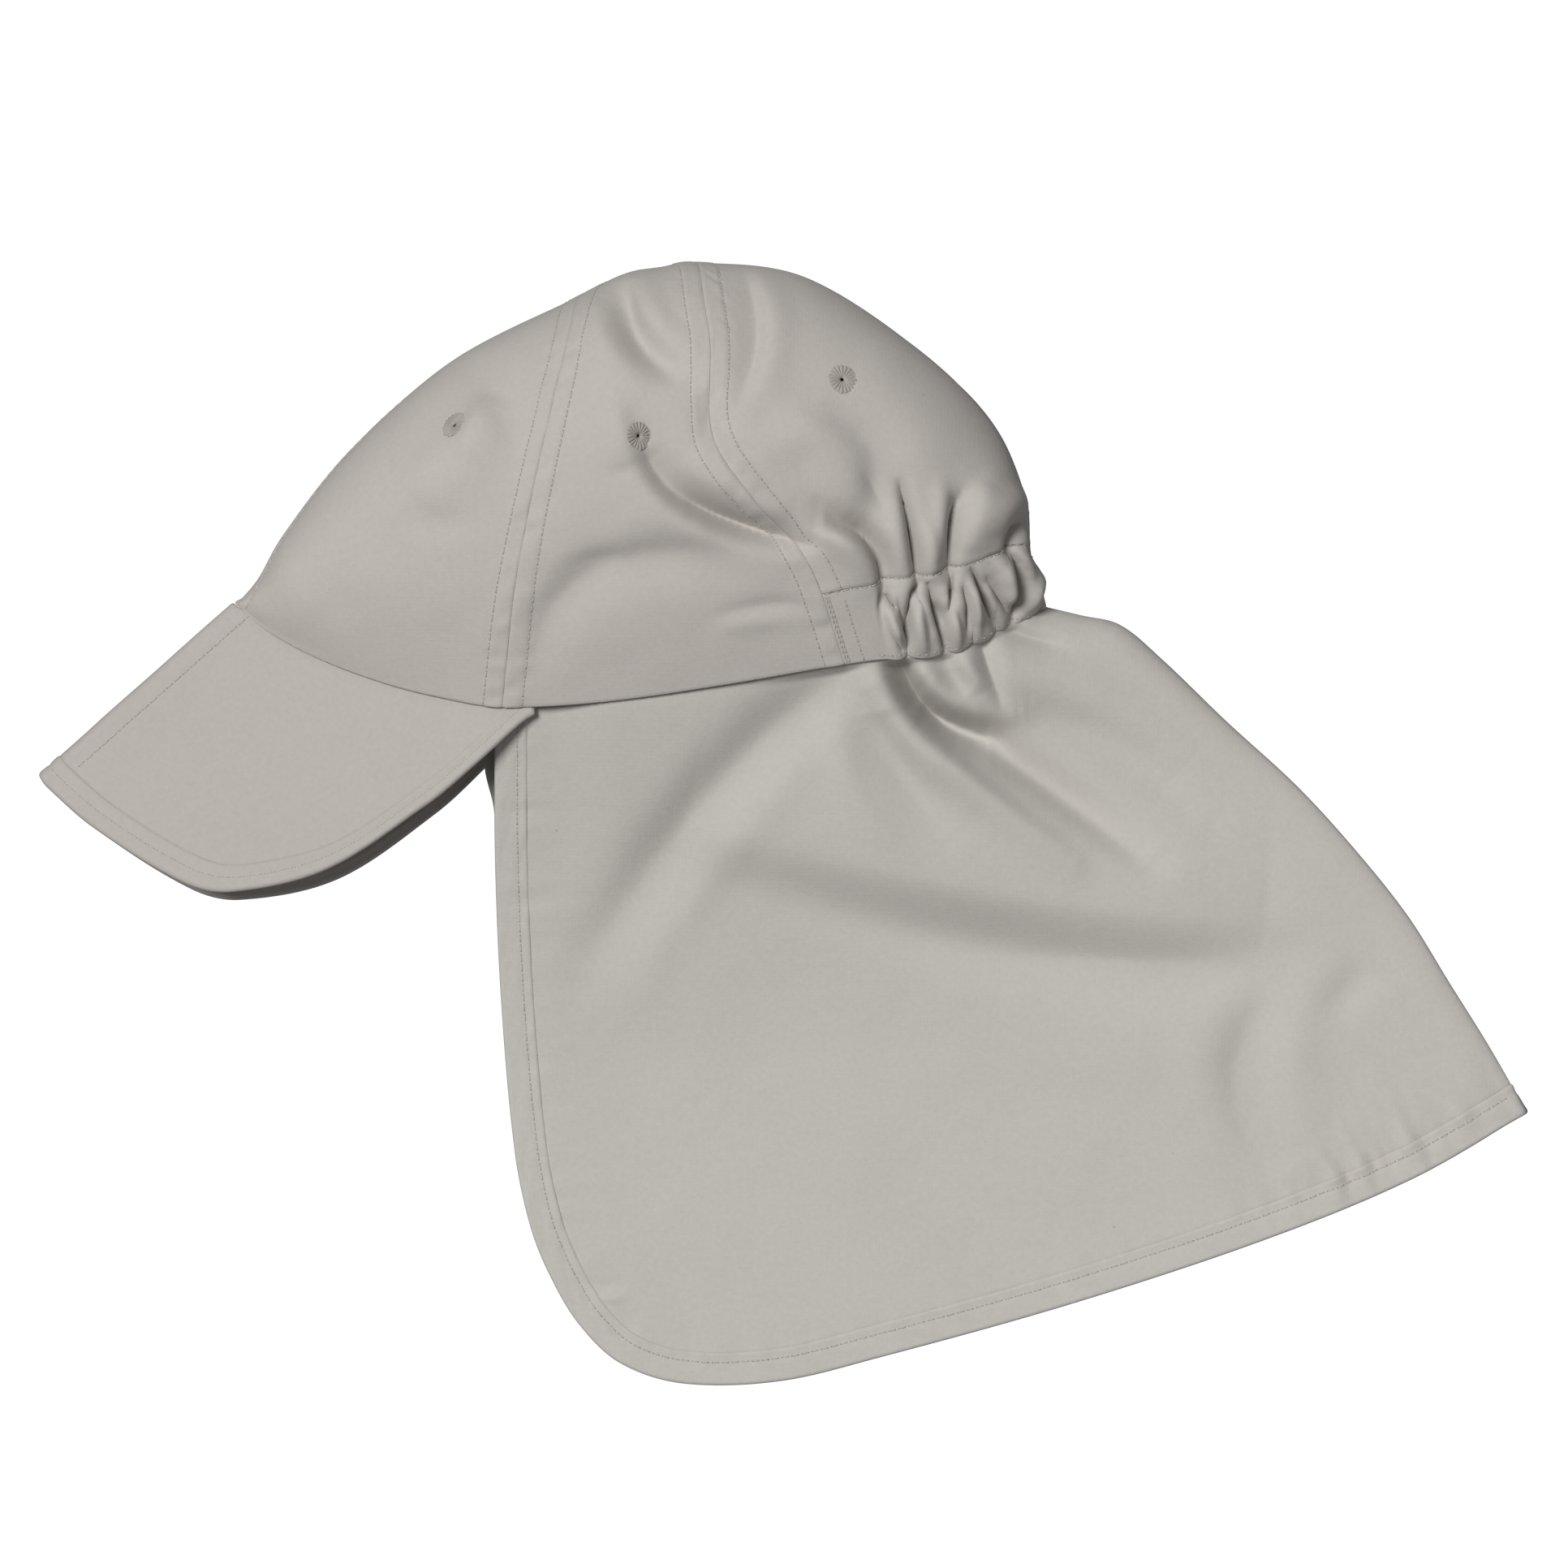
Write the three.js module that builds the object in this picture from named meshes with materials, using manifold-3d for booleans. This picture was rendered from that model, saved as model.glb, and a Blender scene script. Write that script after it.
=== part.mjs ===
// A soft six-panel sun cap with a foldable peak, a gathered elastic band at the
// back and a long neck flap, lying on its side and folded at its mid-plane.
// Millimetres, +Z up. +X runs from the peak to the back of the flap, +Y to the
// top of the crown. The wearer's left half is the upper one, and the right half
// lies flat on the floor below it.

import * as THREE from 'three';
import Module from 'manifold-3d';
import { mergeVertices } from 'three/addons/utils/BufferGeometryUtils.js';

const wasm = await Module();
wasm.setup();

// Cloth and joints between pieces
const crownCloth = 1.2;
const flapCloth = 1.2;
const casingCloth = 1.4;
const hemThickness = 2.0;
const peakThickness = 2.4;
const bindingThickness = 2.6;
const pieceGap = 0.35;
const stackSlack = 0.4;
const seatRamp = 14;

// Crown, measured flat as it lies
const crownLength = 249.3;
const crownHeight = 106;
const crownPuff = 57;
const bendHeight = 17;
const rimLift = 36;
const bendDepth = 15;
const crestPlace = 0.42;
const apexHole = 1.4;
const tuckUnderRim = 3.5;
const foldClear = 1.8;
const foldSize = 10;
const foldFade = 12;
const pleatDepth = 2.2;
const pleatCount = 9;

// Peak
const peakReach = 79.9;
const peakDroop = 41.6;
const peakBulge = 45.5;
const peakSlope = 0.345;
const peakFoldRadius = 1.8;
const peakEndOut = 1.5;
const peakOverFlap = 17.5;
const bindingWidth = 8;

// Neck flap
const flapLength = 317.2;
const flapDrop = 209;
const backFoldBulge = 18;
const hemWidth = 9.5;
const layerGap = 0.8;
const flapFoldDepth = 8;
const flapSlopeLength = 112;

// Eyelets
const eyeletDiameter = 8.8;
const eyeletHole = 2.4;
const eyeletSides = 14;

// Sections across the crown, from the front of the rim to the back. Each runs
// from the bent top edge (outline) to the upper rim. Places are shares of
// crownLength and crownHeight, bend of bendHeight, crest of crownPuff, lift of
// rimLift.
const crownSections = [
  { at: 0.0, outX: 0.0, outY: 0.0, rimX: 0.0, rimY: 0.0, bend: 0.19, crest: 0.1, lift: 0.18 },
  { at: 0.06, outX: 0.028, outY: 0.075, rimX: 0.046, rimY: -0.085, bend: 0.3, crest: 0.27, lift: 0.325 },
  { at: 0.13, outX: 0.062, outY: 0.212, rimX: 0.108, rimY: -0.162, bend: 0.42, crest: 0.45, lift: 0.475 },
  { at: 0.21, outX: 0.145, outY: 0.455, rimX: 0.184, rimY: -0.229, bend: 0.6, crest: 0.65, lift: 0.635 },
  { at: 0.29, outX: 0.27, outY: 0.712, rimX: 0.255, rimY: -0.272, bend: 0.78, crest: 0.82, lift: 0.765 },
  { at: 0.37, outX: 0.422, outY: 0.893, rimX: 0.332, rimY: -0.3, bend: 0.9, crest: 0.94, lift: 0.905 },
  { at: 0.45, outX: 0.481, outY: 0.962, rimX: 0.455, rimY: -0.285, bend: 0.96, crest: 0.99, lift: 0.98 },
  { at: 0.53, outX: 0.526, outY: 0.982, rimX: 0.6, rimY: -0.237, bend: 1.0, crest: 1.0, lift: 1.0 },
  { at: 0.6, outX: 0.57, outY: 0.994, rimX: 0.753, rimY: -0.175, bend: 1.0, crest: 0.97, lift: 0.95 },
  { at: 0.7, outX: 0.701, outY: 0.953, rimX: 0.823, rimY: -0.156, bend: 0.98, crest: 0.88, lift: 0.85 },
  { at: 0.8, outX: 0.842, outY: 0.744, rimX: 0.882, rimY: -0.137, bend: 0.9, crest: 0.76, lift: 0.72 },
  { at: 0.88, outX: 0.935, outY: 0.528, rimX: 0.927, rimY: -0.096, bend: 0.76, crest: 0.6, lift: 0.56 },
  { at: 0.95, outX: 0.977, outY: 0.295, rimX: 0.967, rimY: -0.045, bend: 0.54, crest: 0.4, lift: 0.38 },
  { at: 0.97, outX: 0.98, outY: 0.15, rimX: 0.985, rimY: -0.024, bend: 0.42, crest: 0.28, lift: 0.31 },
  { at: 1.0, outX: 1.0, outY: -0.008, rimX: 1.0, rimY: -0.008, bend: 0.25, crest: 0.14, lift: 0.22 },
];

// Seams across the crown: side is 1 at the upper rim, 0 at the top bend and -1
// at the lower rim, at is the station along the crown.
const frontSideSeam = [
  { side: -1.0, at: 0.37 },
  { side: -0.25, at: 0.44 },
  { side: 0.0, at: 0.375 },
  { side: 0.25, at: 0.362 },
  { side: 0.5, at: 0.356 },
  { side: 0.75, at: 0.359 },
  { side: 1.0, at: 0.369 },
];
const sideBackSeam = [
  { side: -1.0, at: 0.6 },
  { side: -0.25, at: 0.52 },
  { side: 0.0, at: 0.595 },
  { side: 0.3, at: 0.585 },
  { side: 0.52, at: 0.556 },
  { side: 0.66, at: 0.574 },
  { side: 0.8, at: 0.6 },
  { side: 1.0, at: 0.6 },
];
const apexAt = 0.48;
const apexSide = -0.25;
const frontFoldSide = 0.03;
const backFoldSide = -0.03;

// Upper edge of the gathered casing, from the seam to the back fold.
const casingTop = [
  { at: 0.6, side: 0.86 },
  { at: 0.7, side: 0.845 },
  { at: 0.8, side: 0.8 },
  { at: 0.88, side: 0.71 },
  { at: 0.94, side: 0.55 },
  { at: 0.968, side: 0.3 },
  { at: 0.972, side: 0.0 },
];

// Folds of the crown as it is seen from above, from one end to the other, in
// shares of crownLength and crownHeight. Width and rise are shares of foldSize,
// a rise below zero is a dent.
const crownFolds = [
  { x1: 0.58, y1: 0.26, x2: 0.71, y2: 0.12, width: 0.8, rise: -0.58 },
  { x1: 0.5, y1: 0.46, x2: 0.59, y2: 0.26, width: 0.9, rise: -0.36 },
  { x1: 0.6, y1: 0.14, x2: 0.71, y2: 0.07, width: 0.8, rise: 0.25 },
  { x1: 0.51, y1: 0.9, x2: 0.535, y2: 0.73, width: 0.6, rise: 0.35 },
  { x1: 0.48, y1: 0.86, x2: 0.5, y2: 0.66, width: 0.7, rise: -0.25 },
  { x1: 0.35, y1: 0.1, x2: 0.66, y2: 0.06, width: 1.3, rise: -0.25 },
  { x1: 0.21, y1: 0.3, x2: 0.33, y2: 0.55, width: 1.2, rise: 0.25 },
  { x1: 0.62, y1: 0.75, x2: 0.61, y2: 0.58, width: 0.7, rise: -0.22 },
  { x1: 0.766, y1: 0.2, x2: 0.797, y2: 0.06, width: 0.4, rise: -0.26 },
  { x1: 0.81, y1: 0.3, x2: 0.822, y2: 0.07, width: 0.45, rise: 0.3 },
  { x1: 0.825, y1: 0.32, x2: 0.845, y2: 0.07, width: 0.4, rise: -0.26 },
  { x1: 0.862, y1: 0.36, x2: 0.864, y2: 0.08, width: 0.45, rise: 0.32 },
  { x1: 0.895, y1: 0.34, x2: 0.884, y2: 0.09, width: 0.4, rise: -0.24 },
  { x1: 0.925, y1: 0.34, x2: 0.915, y2: 0.12, width: 0.5, rise: 0.28 },
];

// Folds of the flap's upper layer, in shares of flapLength and flapDrop from
// the front of the rim, their width and rise again in shares of foldSize.
const flapFolds = [
  { x1: 0.34, y1: 0.04, x2: 0.065, y2: -0.38, width: 1.3, rise: -0.55 },
  { x1: 0.386, y1: 0.05, x2: 0.56, y2: -0.135, width: 1.1, rise: -0.75 },
  { x1: 0.443, y1: 0.04, x2: 0.67, y2: -0.126, width: 1.2, rise: 0.45 },
  { x1: 0.26, y1: -0.08, x2: 0.468, y2: -0.2, width: 1.3, rise: 0.4 },
  { x1: 0.185, y1: -0.23, x2: 0.5, y2: -0.346, width: 1.4, rise: -0.4 },
  { x1: 0.5, y1: -0.346, x2: 0.784, y2: -0.298, width: 1.4, rise: -0.4 },
  { x1: 0.752, y1: -0.384, x2: 0.778, y2: -0.69, width: 1.0, rise: -0.26 },
];

// Outer edge of the peak's lower half, from the fold to its end at the rim:
// chord is a share of the straight line between those, out a share of
// peakBulge away from it.
const peakEdge = [
  { along: 0.0, chord: 0.0, out: 0.0 },
  { along: 0.03, chord: 0.012, out: 0.07 },
  { along: 0.12, chord: 0.096, out: 0.39 },
  { along: 0.31, chord: 0.273, out: 0.88 },
  { along: 0.4, chord: 0.367, out: 0.99 },
  { along: 0.58, chord: 0.565, out: 0.934 },
  { along: 0.78, chord: 0.774, out: 0.582 },
  { along: 0.89, chord: 0.88, out: 0.33 },
  { along: 1.0, chord: 1.0, out: 0.0 },
];
const peakEndAt = 0.398;
const peakSqueeze = 0.05;

// Outer edge of the flap from the front of the rim round the lower corner to
// the back fold, in shares of flapLength and flapDrop.
const flapFrontAt = 0.362;
const flapEdge = [
  { along: 0.0, x: 0.0, y: 0.0 },
  { along: 0.094, x: 0.0, y: -0.228 },
  { along: 0.183, x: 0.006, y: -0.444 },
  { along: 0.272, x: 0.019, y: -0.659 },
  { along: 0.317, x: 0.034, y: -0.767 },
  { along: 0.349, x: 0.053, y: -0.839 },
  { along: 0.384, x: 0.081, y: -0.91 },
  { along: 0.417, x: 0.12, y: -0.966 },
  { along: 0.457, x: 0.18, y: -0.996 },
  { along: 0.516, x: 0.274, y: -0.993 },
  { along: 0.577, x: 0.369, y: -0.959 },
  { along: 0.7, x: 0.558, y: -0.879 },
  { along: 0.824, x: 0.747, y: -0.784 },
  { along: 0.92, x: 0.889, y: -0.695 },
  { along: 1.0, x: 1.0, y: -0.599 },
];
const flapCornerAlong = 0.4;

// Back fold of the flap, from the casing to the hem corner: how far it bows
// out from the straight line between them, in shares of backFoldBulge.
const backFoldBow = [
  { along: 0.0, bow: 0.0 },
  { along: 0.043, bow: 0.333 },
  { along: 0.09, bow: 0.7 },
  { along: 0.163, bow: 0.817 },
  { along: 0.297, bow: 0.889 },
  { along: 0.436, bow: 1.0 },
  { along: 0.562, bow: 0.967 },
  { along: 0.68, bow: 0.839 },
  { along: 0.788, bow: 0.572 },
  { along: 0.896, bow: 0.306 },
  { along: 1.0, bow: 0.0 },
];

const eyeletPlaces = [
  { name: 'eyelet_front_left', panel: 'crown_front_left', at: 0.295, side: 0.355 },
  { name: 'eyelet_side_left', panel: 'crown_side_left', at: 0.477, side: 0.508 },
  { name: 'eyelet_back_left', panel: 'crown_back_left', at: 0.713, side: 0.4 },
  { name: 'eyelet_front_right', panel: 'crown_front_right', at: 0.295, side: -0.61 },
  { name: 'eyelet_side_right', panel: 'crown_side_right', at: 0.48, side: -0.7 },
  { name: 'eyelet_back_right', panel: 'crown_back_right', at: 0.713, side: -0.64 },
];

const clothColour = 0xb9b4ab;
const peakColour = 0xb4afa6;
const threadColour = 0xa39e95;

// Smooth curve through the rows of a table, read at one place of its key.
function readTable(rows, key, column, place) {
  const last = rows.length - 1;
  let i = 0;
  while (i < last - 1 && place > rows[i + 1][key]) i += 1;
  const span = rows[i + 1][key] - rows[i][key];
  const t = THREE.MathUtils.clamp((place - rows[i][key]) / span, 0, 1);
  const slope = (k) => {
    const a = Math.max(0, k - 1);
    const b = Math.min(last, k + 1);
    return (rows[b][column] - rows[a][column]) / (rows[b][key] - rows[a][key]);
  };
  const t2 = t * t;
  const t3 = t2 * t;
  return (2 * t3 - 3 * t2 + 1) * rows[i][column]
    + (t3 - 2 * t2 + t) * span * slope(i)
    + (3 * t2 - 2 * t3) * rows[i + 1][column]
    + (t3 - t2) * span * slope(i + 1);
}

function ease(t) {
  const c = THREE.MathUtils.clamp(t, 0, 1);
  return c * c * (3 - 2 * c);
}

function mix(a, b, t) {
  return a + (b - a) * t;
}

// Height that a list of folds adds at one place seen from above.
function foldRise(folds, x, y, originX, originY, lengthX, lengthY) {
  let rise = 0;
  for (const fold of folds) {
    const ax = originX + fold.x1 * lengthX;
    const ay = originY + fold.y1 * lengthY;
    const bx = originX + fold.x2 * lengthX;
    const by = originY + fold.y2 * lengthY;
    const length2 = (bx - ax) ** 2 + (by - ay) ** 2;
    const t = ((x - ax) * (bx - ax) + (y - ay) * (by - ay)) / length2;
    const along = THREE.MathUtils.clamp(t, 0, 1);
    const dx = x - mix(ax, bx, along);
    const dy = y - mix(ay, by, along);
    const off = Math.hypot(dx, dy) / (fold.width * foldSize);
    rise += fold.rise * foldSize * Math.exp(-off * off) * (0.55 + 0.45 * Math.sin(Math.PI * along));
  }
  return rise;
}

// Crown surface, middle of the cloth. at runs 0 to 1 from front to back, side
// from -1 at the lower rim over the bend at 0 to 1 at the upper rim.
const upperBendShare = (crestPlace * Math.PI / 2) / (crestPlace * Math.PI / 2 + 1 - crestPlace);
const lowerBendShare = 0.18;
const upperFall = THREE.MathUtils.degToRad(72);
const rimFade = 0.12;
const bendFade = 0.2;

function crownBase(at, side) {
  const read = (column) => readTable(crownSections, 'at', column, at);
  const outX = read('outX') * crownLength;
  const outY = read('outY') * crownHeight;
  const rimX = read('rimX') * crownLength;
  const rimY = read('rimY') * crownHeight;
  const bend = Math.max(read('bend') * bendHeight, 2 * crownCloth);
  const rim = read('lift') * rimLift;
  const crest = Math.max(read('crest') * crownPuff, bend + crownCloth / 2);
  const floor = crownCloth / 2;
  let share;
  let z;
  if (side >= upperBendShare) {
    const t = (side - upperBendShare) / (1 - upperBendShare);
    share = mix(crestPlace, 1, t);
    z = crest - (crest - rim) * (1 - Math.cos(t * upperFall)) / (1 - Math.cos(upperFall));
  } else if (side >= 0) {
    const angle = side / upperBendShare * Math.PI / 2;
    share = crestPlace * (1 - Math.cos(angle));
    z = bend + (crest - bend) * Math.sin(angle);
  } else {
    const reach = Math.hypot(rimX - outX, rimY - outY);
    const inset = reach > 0 ? Math.min(bendDepth / reach, 0.5) : 0.5;
    const angle = Math.min(-side / lowerBendShare, 1) * Math.PI / 2;
    const t = Math.max((-side - lowerBendShare) / (1 - lowerBendShare), 0);
    share = t > 0 ? mix(inset, 1, t) : inset * (1 - Math.cos(angle));
    z = bend - (bend - floor) * Math.sin(angle);
  }
  return new THREE.Vector3(mix(outX, rimX, share), mix(outY, rimY, share), z);
}

function normalOf(surface, at, side) {
  const step = 0.004;
  const a0 = Math.max(at - step, 0);
  const a1 = Math.min(at + step, 1);
  const s0 = Math.max(side - step, -1);
  const s1 = Math.min(side + step, 1);
  const along = surface(a1, side).sub(surface(a0, side));
  const across = surface(at, s1).sub(surface(at, s0));
  return across.cross(along).normalize();
}

function crownPoint(at, side) {
  const point = crownBase(at, side);
  if (side <= 0) return point;
  const rise = foldRise(crownFolds, point.x, point.y, 0, 0, crownLength, crownHeight);
  const fade = ease(side / bendFade) * ease((1 - side) / rimFade);
  return point.addScaledVector(normalOf(crownBase, at, side), rise * fade);
}

function crownNormal(at, side) {
  return normalOf(crownPoint, at, side);
}

// One closed cloth wall round a grid of middle points with their normals. Each
// side of the grid is drawn in by half of the gap to its neighbour.
function clothWall(rows, thickness, gap) {
  const count = rows.length;
  const width = rows[0].length;
  const pull = (from, to) => {
    const step = to.point.clone().sub(from.point);
    const length = step.length();
    return length > 0 ? step.multiplyScalar(Math.min(gap / 2 / length, 0.4)) : step;
  };
  const drawn = rows.map((row, j) => row.map((cell, i) => {
    const point = cell.point.clone();
    if (i === 0) point.add(pull(cell, row[1]));
    if (i === width - 1) point.add(pull(cell, row[width - 2]));
    if (j === 0) point.add(pull(cell, rows[1][i]));
    if (j === count - 1) point.add(pull(cell, rows[count - 2][i]));
    return point;
  }));
  const positions = [];
  for (const facing of [0.5, -0.5]) {
    drawn.forEach((row, j) => row.forEach((point, i) => {
      const vertex = point.clone().addScaledVector(rows[j][i].normal, facing * thickness);
      positions.push(vertex.x, vertex.y, vertex.z);
    }));
  }
  const faces = [];
  const inner = count * width;
  const quad = (a, b, c, d) => faces.push(a, b, c, a, c, d);
  for (let j = 0; j < count - 1; j += 1) {
    for (let i = 0; i < width - 1; i += 1) {
      const a = j * width + i;
      quad(a, a + 1, a + width + 1, a + width);
      quad(inner + a, inner + a + width, inner + a + width + 1, inner + a + 1);
    }
  }
  const rim = [];
  for (let i = 0; i < width - 1; i += 1) rim.push(i);
  for (let j = 0; j < count - 1; j += 1) rim.push(j * width + width - 1);
  for (let i = width - 1; i > 0; i -= 1) rim.push((count - 1) * width + i);
  for (let j = count - 1; j > 0; j -= 1) rim.push(j * width);
  rim.forEach((a, k) => {
    const b = rim[(k + 1) % rim.length];
    quad(a, inner + a, inner + b, b);
  });
  const geometry = new THREE.BufferGeometry();
  geometry.setAttribute('position', new THREE.Float32BufferAttribute(positions, 3));
  geometry.setIndex(faces);
  return outward(geometry);
}

// Turns a closed body inside out if its faces point inwards.
function outward(geometry) {
  const index = geometry.getIndex();
  const place = geometry.getAttribute('position');
  const corner = (k) => new THREE.Vector3().fromBufferAttribute(place, index.getX(k));
  let volume = 0;
  for (let k = 0; k < index.count; k += 3) {
    volume += corner(k).dot(corner(k + 1).cross(corner(k + 2)));
  }
  if (volume < 0) {
    for (let k = 0; k < index.count; k += 3) {
      const swap = index.getX(k);
      index.setX(k, index.getX(k + 1));
      index.setX(k + 1, swap);
    }
  }
  return geometry;
}

// Grid of surface points between four edges given in the surface's own terms.
function patch(surface, normal, edges, columns, rowsCount) {
  const rows = [];
  for (let j = 0; j <= rowsCount; j += 1) {
    const v = j / rowsCount;
    const row = [];
    for (let i = 0; i <= columns; i += 1) {
      const u = i / columns;
      const blend = (k) => mix(edges.bottom(u)[k], edges.top(u)[k], v)
        + mix(edges.left(v)[k], edges.right(v)[k], u)
        - mix(mix(edges.bottom(0)[k], edges.bottom(1)[k], u),
          mix(edges.top(0)[k], edges.top(1)[k], u), v);
      const at = blend(0);
      const side = blend(1);
      row.push({ point: surface(at, side), normal: normal(at, side) });
    }
    rows.push(row);
  }
  return rows;
}

// Seams end a little short of the apex, where six panels meet.
const tipShare = apexHole / crownLength * 4;

function casingSide(at) {
  return readTable(casingTop, 'at', 'side', at);
}

// A panel edge along a seam, from the rim to the apex. The first rows are as
// deep as the casing, so that the panels and the casing share their corners.
const casingRows = 2;
const panelColumns = 12;
const panelRows = 14;
const casingShare = casingRows / panelRows;

function seamEdge(table, facing, start) {
  const apexReach = 0.25;
  return (v) => {
    const level = mix(start, 1, v);
    const top = facing * casingSide(casingTop[0].at);
    const tip = apexSide + facing * tipShare;
    const side = level < casingShare
      ? mix(facing, top, level / casingShare)
      : mix(top, tip, (level - casingShare) / (1 - casingShare));
    const near = Math.min(Math.abs(side - apexSide) / apexReach, 1);
    const join = readTable(table, 'side', 'at', near < 1 ? apexSide + apexReach * facing : side);
    return [mix(apexAt, join, near), side];
  };
}

function centreFront(v) {
  return [apexAt * v * (1 - tipShare / 2), mix(frontFoldSide, apexSide, v * v)];
}

function centreBack(v) {
  const start = casingTop[casingTop.length - 1].at;
  return [mix(start, apexAt + tipShare / 2, v), mix(backFoldSide, apexSide, Math.sqrt(v))];
}

function straight(from, to) {
  return (u) => [mix(from[0], to[0], u), mix(from[1], to[1], u)];
}

function frontPanel(facing) {
  const right = seamEdge(frontSideSeam, facing, 0);
  const left = straight([0, facing], [0, frontFoldSide]);
  return {
    bottom: (u) => [right(0)[0] * u, facing],
    top: (u) => {
      const end = right(1);
      const fold = centreFront(u);
      const last = u ** 12;
      return [fold[0] + (end[0] - centreFront(1)[0]) * last, fold[1] + (end[1] - centreFront(1)[1]) * last];
    },
    left,
    right,
  };
}

function sidePanel(facing) {
  const left = seamEdge(frontSideSeam, facing, 0);
  const right = seamEdge(sideBackSeam, facing, 0);
  return {
    bottom: (u) => [mix(left(0)[0], right(0)[0], u), facing],
    top: (u) => straight(left(1), right(1))(u),
    left,
    right,
  };
}

// Line where the back panels end and the casing starts, from a seam at 0 to
// the back fold at 1.
function casingLine(facing, u) {
  const start = seamEdge(sideBackSeam, facing, casingShare)(0)[0];
  const end = casingTop[casingTop.length - 1].at;
  const at = mix(start, end, 1 - (1 - u) ** 1.4);
  return [at, facing * casingSide(at) + backFoldSide * u];
}

function backPanel(facing) {
  const left = seamEdge(sideBackSeam, facing, casingShare);
  return {
    bottom: (u) => casingLine(facing, u),
    top: (u) => straight(left(1), centreBack(1))(u),
    left,
    right: centreBack,
  };
}

function crownPanel(edges, rowCount) {
  const rows = patch(crownPoint, crownNormal, edges, panelColumns, rowCount);
  return clothWall(rows, crownCloth, pieceGap);
}

// Gathered casing: from the lower seam round the back to the upper seam. u runs
// from 0 at the lower seam to 1 at the upper one, v from the rim to the top.
const poleShare = 0.93;
const casingSeamGap = 0.04;
const gatherStart = 0.14;
const gatherRamp = 0.12;
const pleatDrift = 0.22;
const pleatLean = 0.12;

function casingPoint(u, v) {
  const facing = u < 0.5 ? -1 : 1;
  const inward = 1 - Math.abs(2 * u - 1);
  const up = THREE.MathUtils.clamp(v, 0, 1);
  const top = casingLine(facing, inward);
  const seam = seamEdge(sideBackSeam, facing, 0)(up * casingShare);
  const rimAt = mix(seamEdge(sideBackSeam, facing, 0)(0)[0], 1, Math.min(inward / poleShare, 1));
  const rimSide = facing * Math.min((1 - inward) / (1 - poleShare), 1);
  const nearSeam = Math.max(1 - inward * panelColumns, 0);
  const at = mix(mix(rimAt, top[0], up), seam[0], nearSeam);
  const side = mix(mix(rimSide, top[1], up), seam[1], nearSeam);
  const gathered = ease((inward - gatherStart) / gatherRamp);
  const across = Math.sin(Math.PI * up);
  const turns = pleatCount * inward + pleatDrift * Math.sin(pleatCount * inward) + pleatLean * up;
  const wave = Math.sin(2 * Math.PI * turns);
  const push = facing > 0 ? (0.9 + wave) * across ** 0.7 : (-0.25 - 0.2 * wave) * across ** 2;
  const point = crownPoint(at, side);
  point.addScaledVector(crownNormal(at, side), pleatDepth * gathered * push);
  point.z = Math.max(point.z, casingCloth / 2);
  return point;
}

// Peak, folded at its centre line. u runs from 0 at the end of the lower half
// over the fold at 0.5 to 1 at the end of the upper half, v from the root under
// the rim to the outer edge.
const peakAngle = THREE.MathUtils.degToRad(180 + peakDroop);
const foldLine = new THREE.Vector2(Math.cos(peakAngle), Math.sin(peakAngle));
const peakRest = peakThickness / 2;
const peakFoldHeight = peakRest + peakFoldRadius;
const leanFactor = 1.3;
const peakStack = (crownCloth + bindingThickness) / 2 * leanFactor + pieceGap;
const foldHold = 0.12;
const tableStep = 0.01;

function roundBend(reach, radius) {
  const t = 1 - THREE.MathUtils.clamp(reach / radius, 0, 1);
  return Math.sqrt(1 - t * t);
}

// A point of the rim moved under the crown by the tuck.
function rimTucked(at, side, tuck) {
  const rim = crownPoint(at, side);
  const ahead = crownPoint(Math.min(at + tableStep, 1), side);
  const behind = crownPoint(Math.max(at - tableStep, 0), side);
  const run = new THREE.Vector2(ahead.x - behind.x, ahead.y - behind.y).normalize();
  return new THREE.Vector3(rim.x - run.y * tuck, rim.y + run.x * tuck, rim.z);
}

function peakLine(u) {
  const share = Math.abs(2 * u - 1);
  const facing = u < 0.5 ? -1 : 1;
  const at = share * peakEndAt;
  const hold = ease(share / foldHold);
  const tuck = mix(-foldClear, tuckUnderRim, hold);
  const root = rimTucked(at, facing, tuck);
  if (hold < 1) {
    const free = foldLine.clone().multiplyScalar(foldClear);
    root.x = mix(free.x, root.x, hold);
    root.y = mix(free.y, root.y, hold);
  }
  const tip = foldLine.clone().multiplyScalar(peakReach);
  const end = rimTucked(peakEndAt, 1, -peakEndOut);
  const chord = new THREE.Vector2(end.x - tip.x, end.y - tip.y);
  const away = new THREE.Vector2(chord.y, -chord.x).normalize();
  const out = readTable(peakEdge, 'along', 'out', share) * peakBulge;
  const run = readTable(peakEdge, 'along', 'chord', share);
  const edge = new THREE.Vector2(tip.x + chord.x * run + away.x * out, tip.y + chord.y * run + away.y * out);
  const offFold = edge.x * foldLine.y - edge.y * foldLine.x;
  if (facing > 0) {
    const pull = offFold * peakSqueeze * Math.sin(Math.PI * share) ** 0.5;
    edge.x -= foldLine.y * pull;
    edge.y += foldLine.x * pull;
  }
  return { root, edge, facing, length: Math.hypot(edge.x - root.x, edge.y - root.y), tuck };
}

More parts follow.
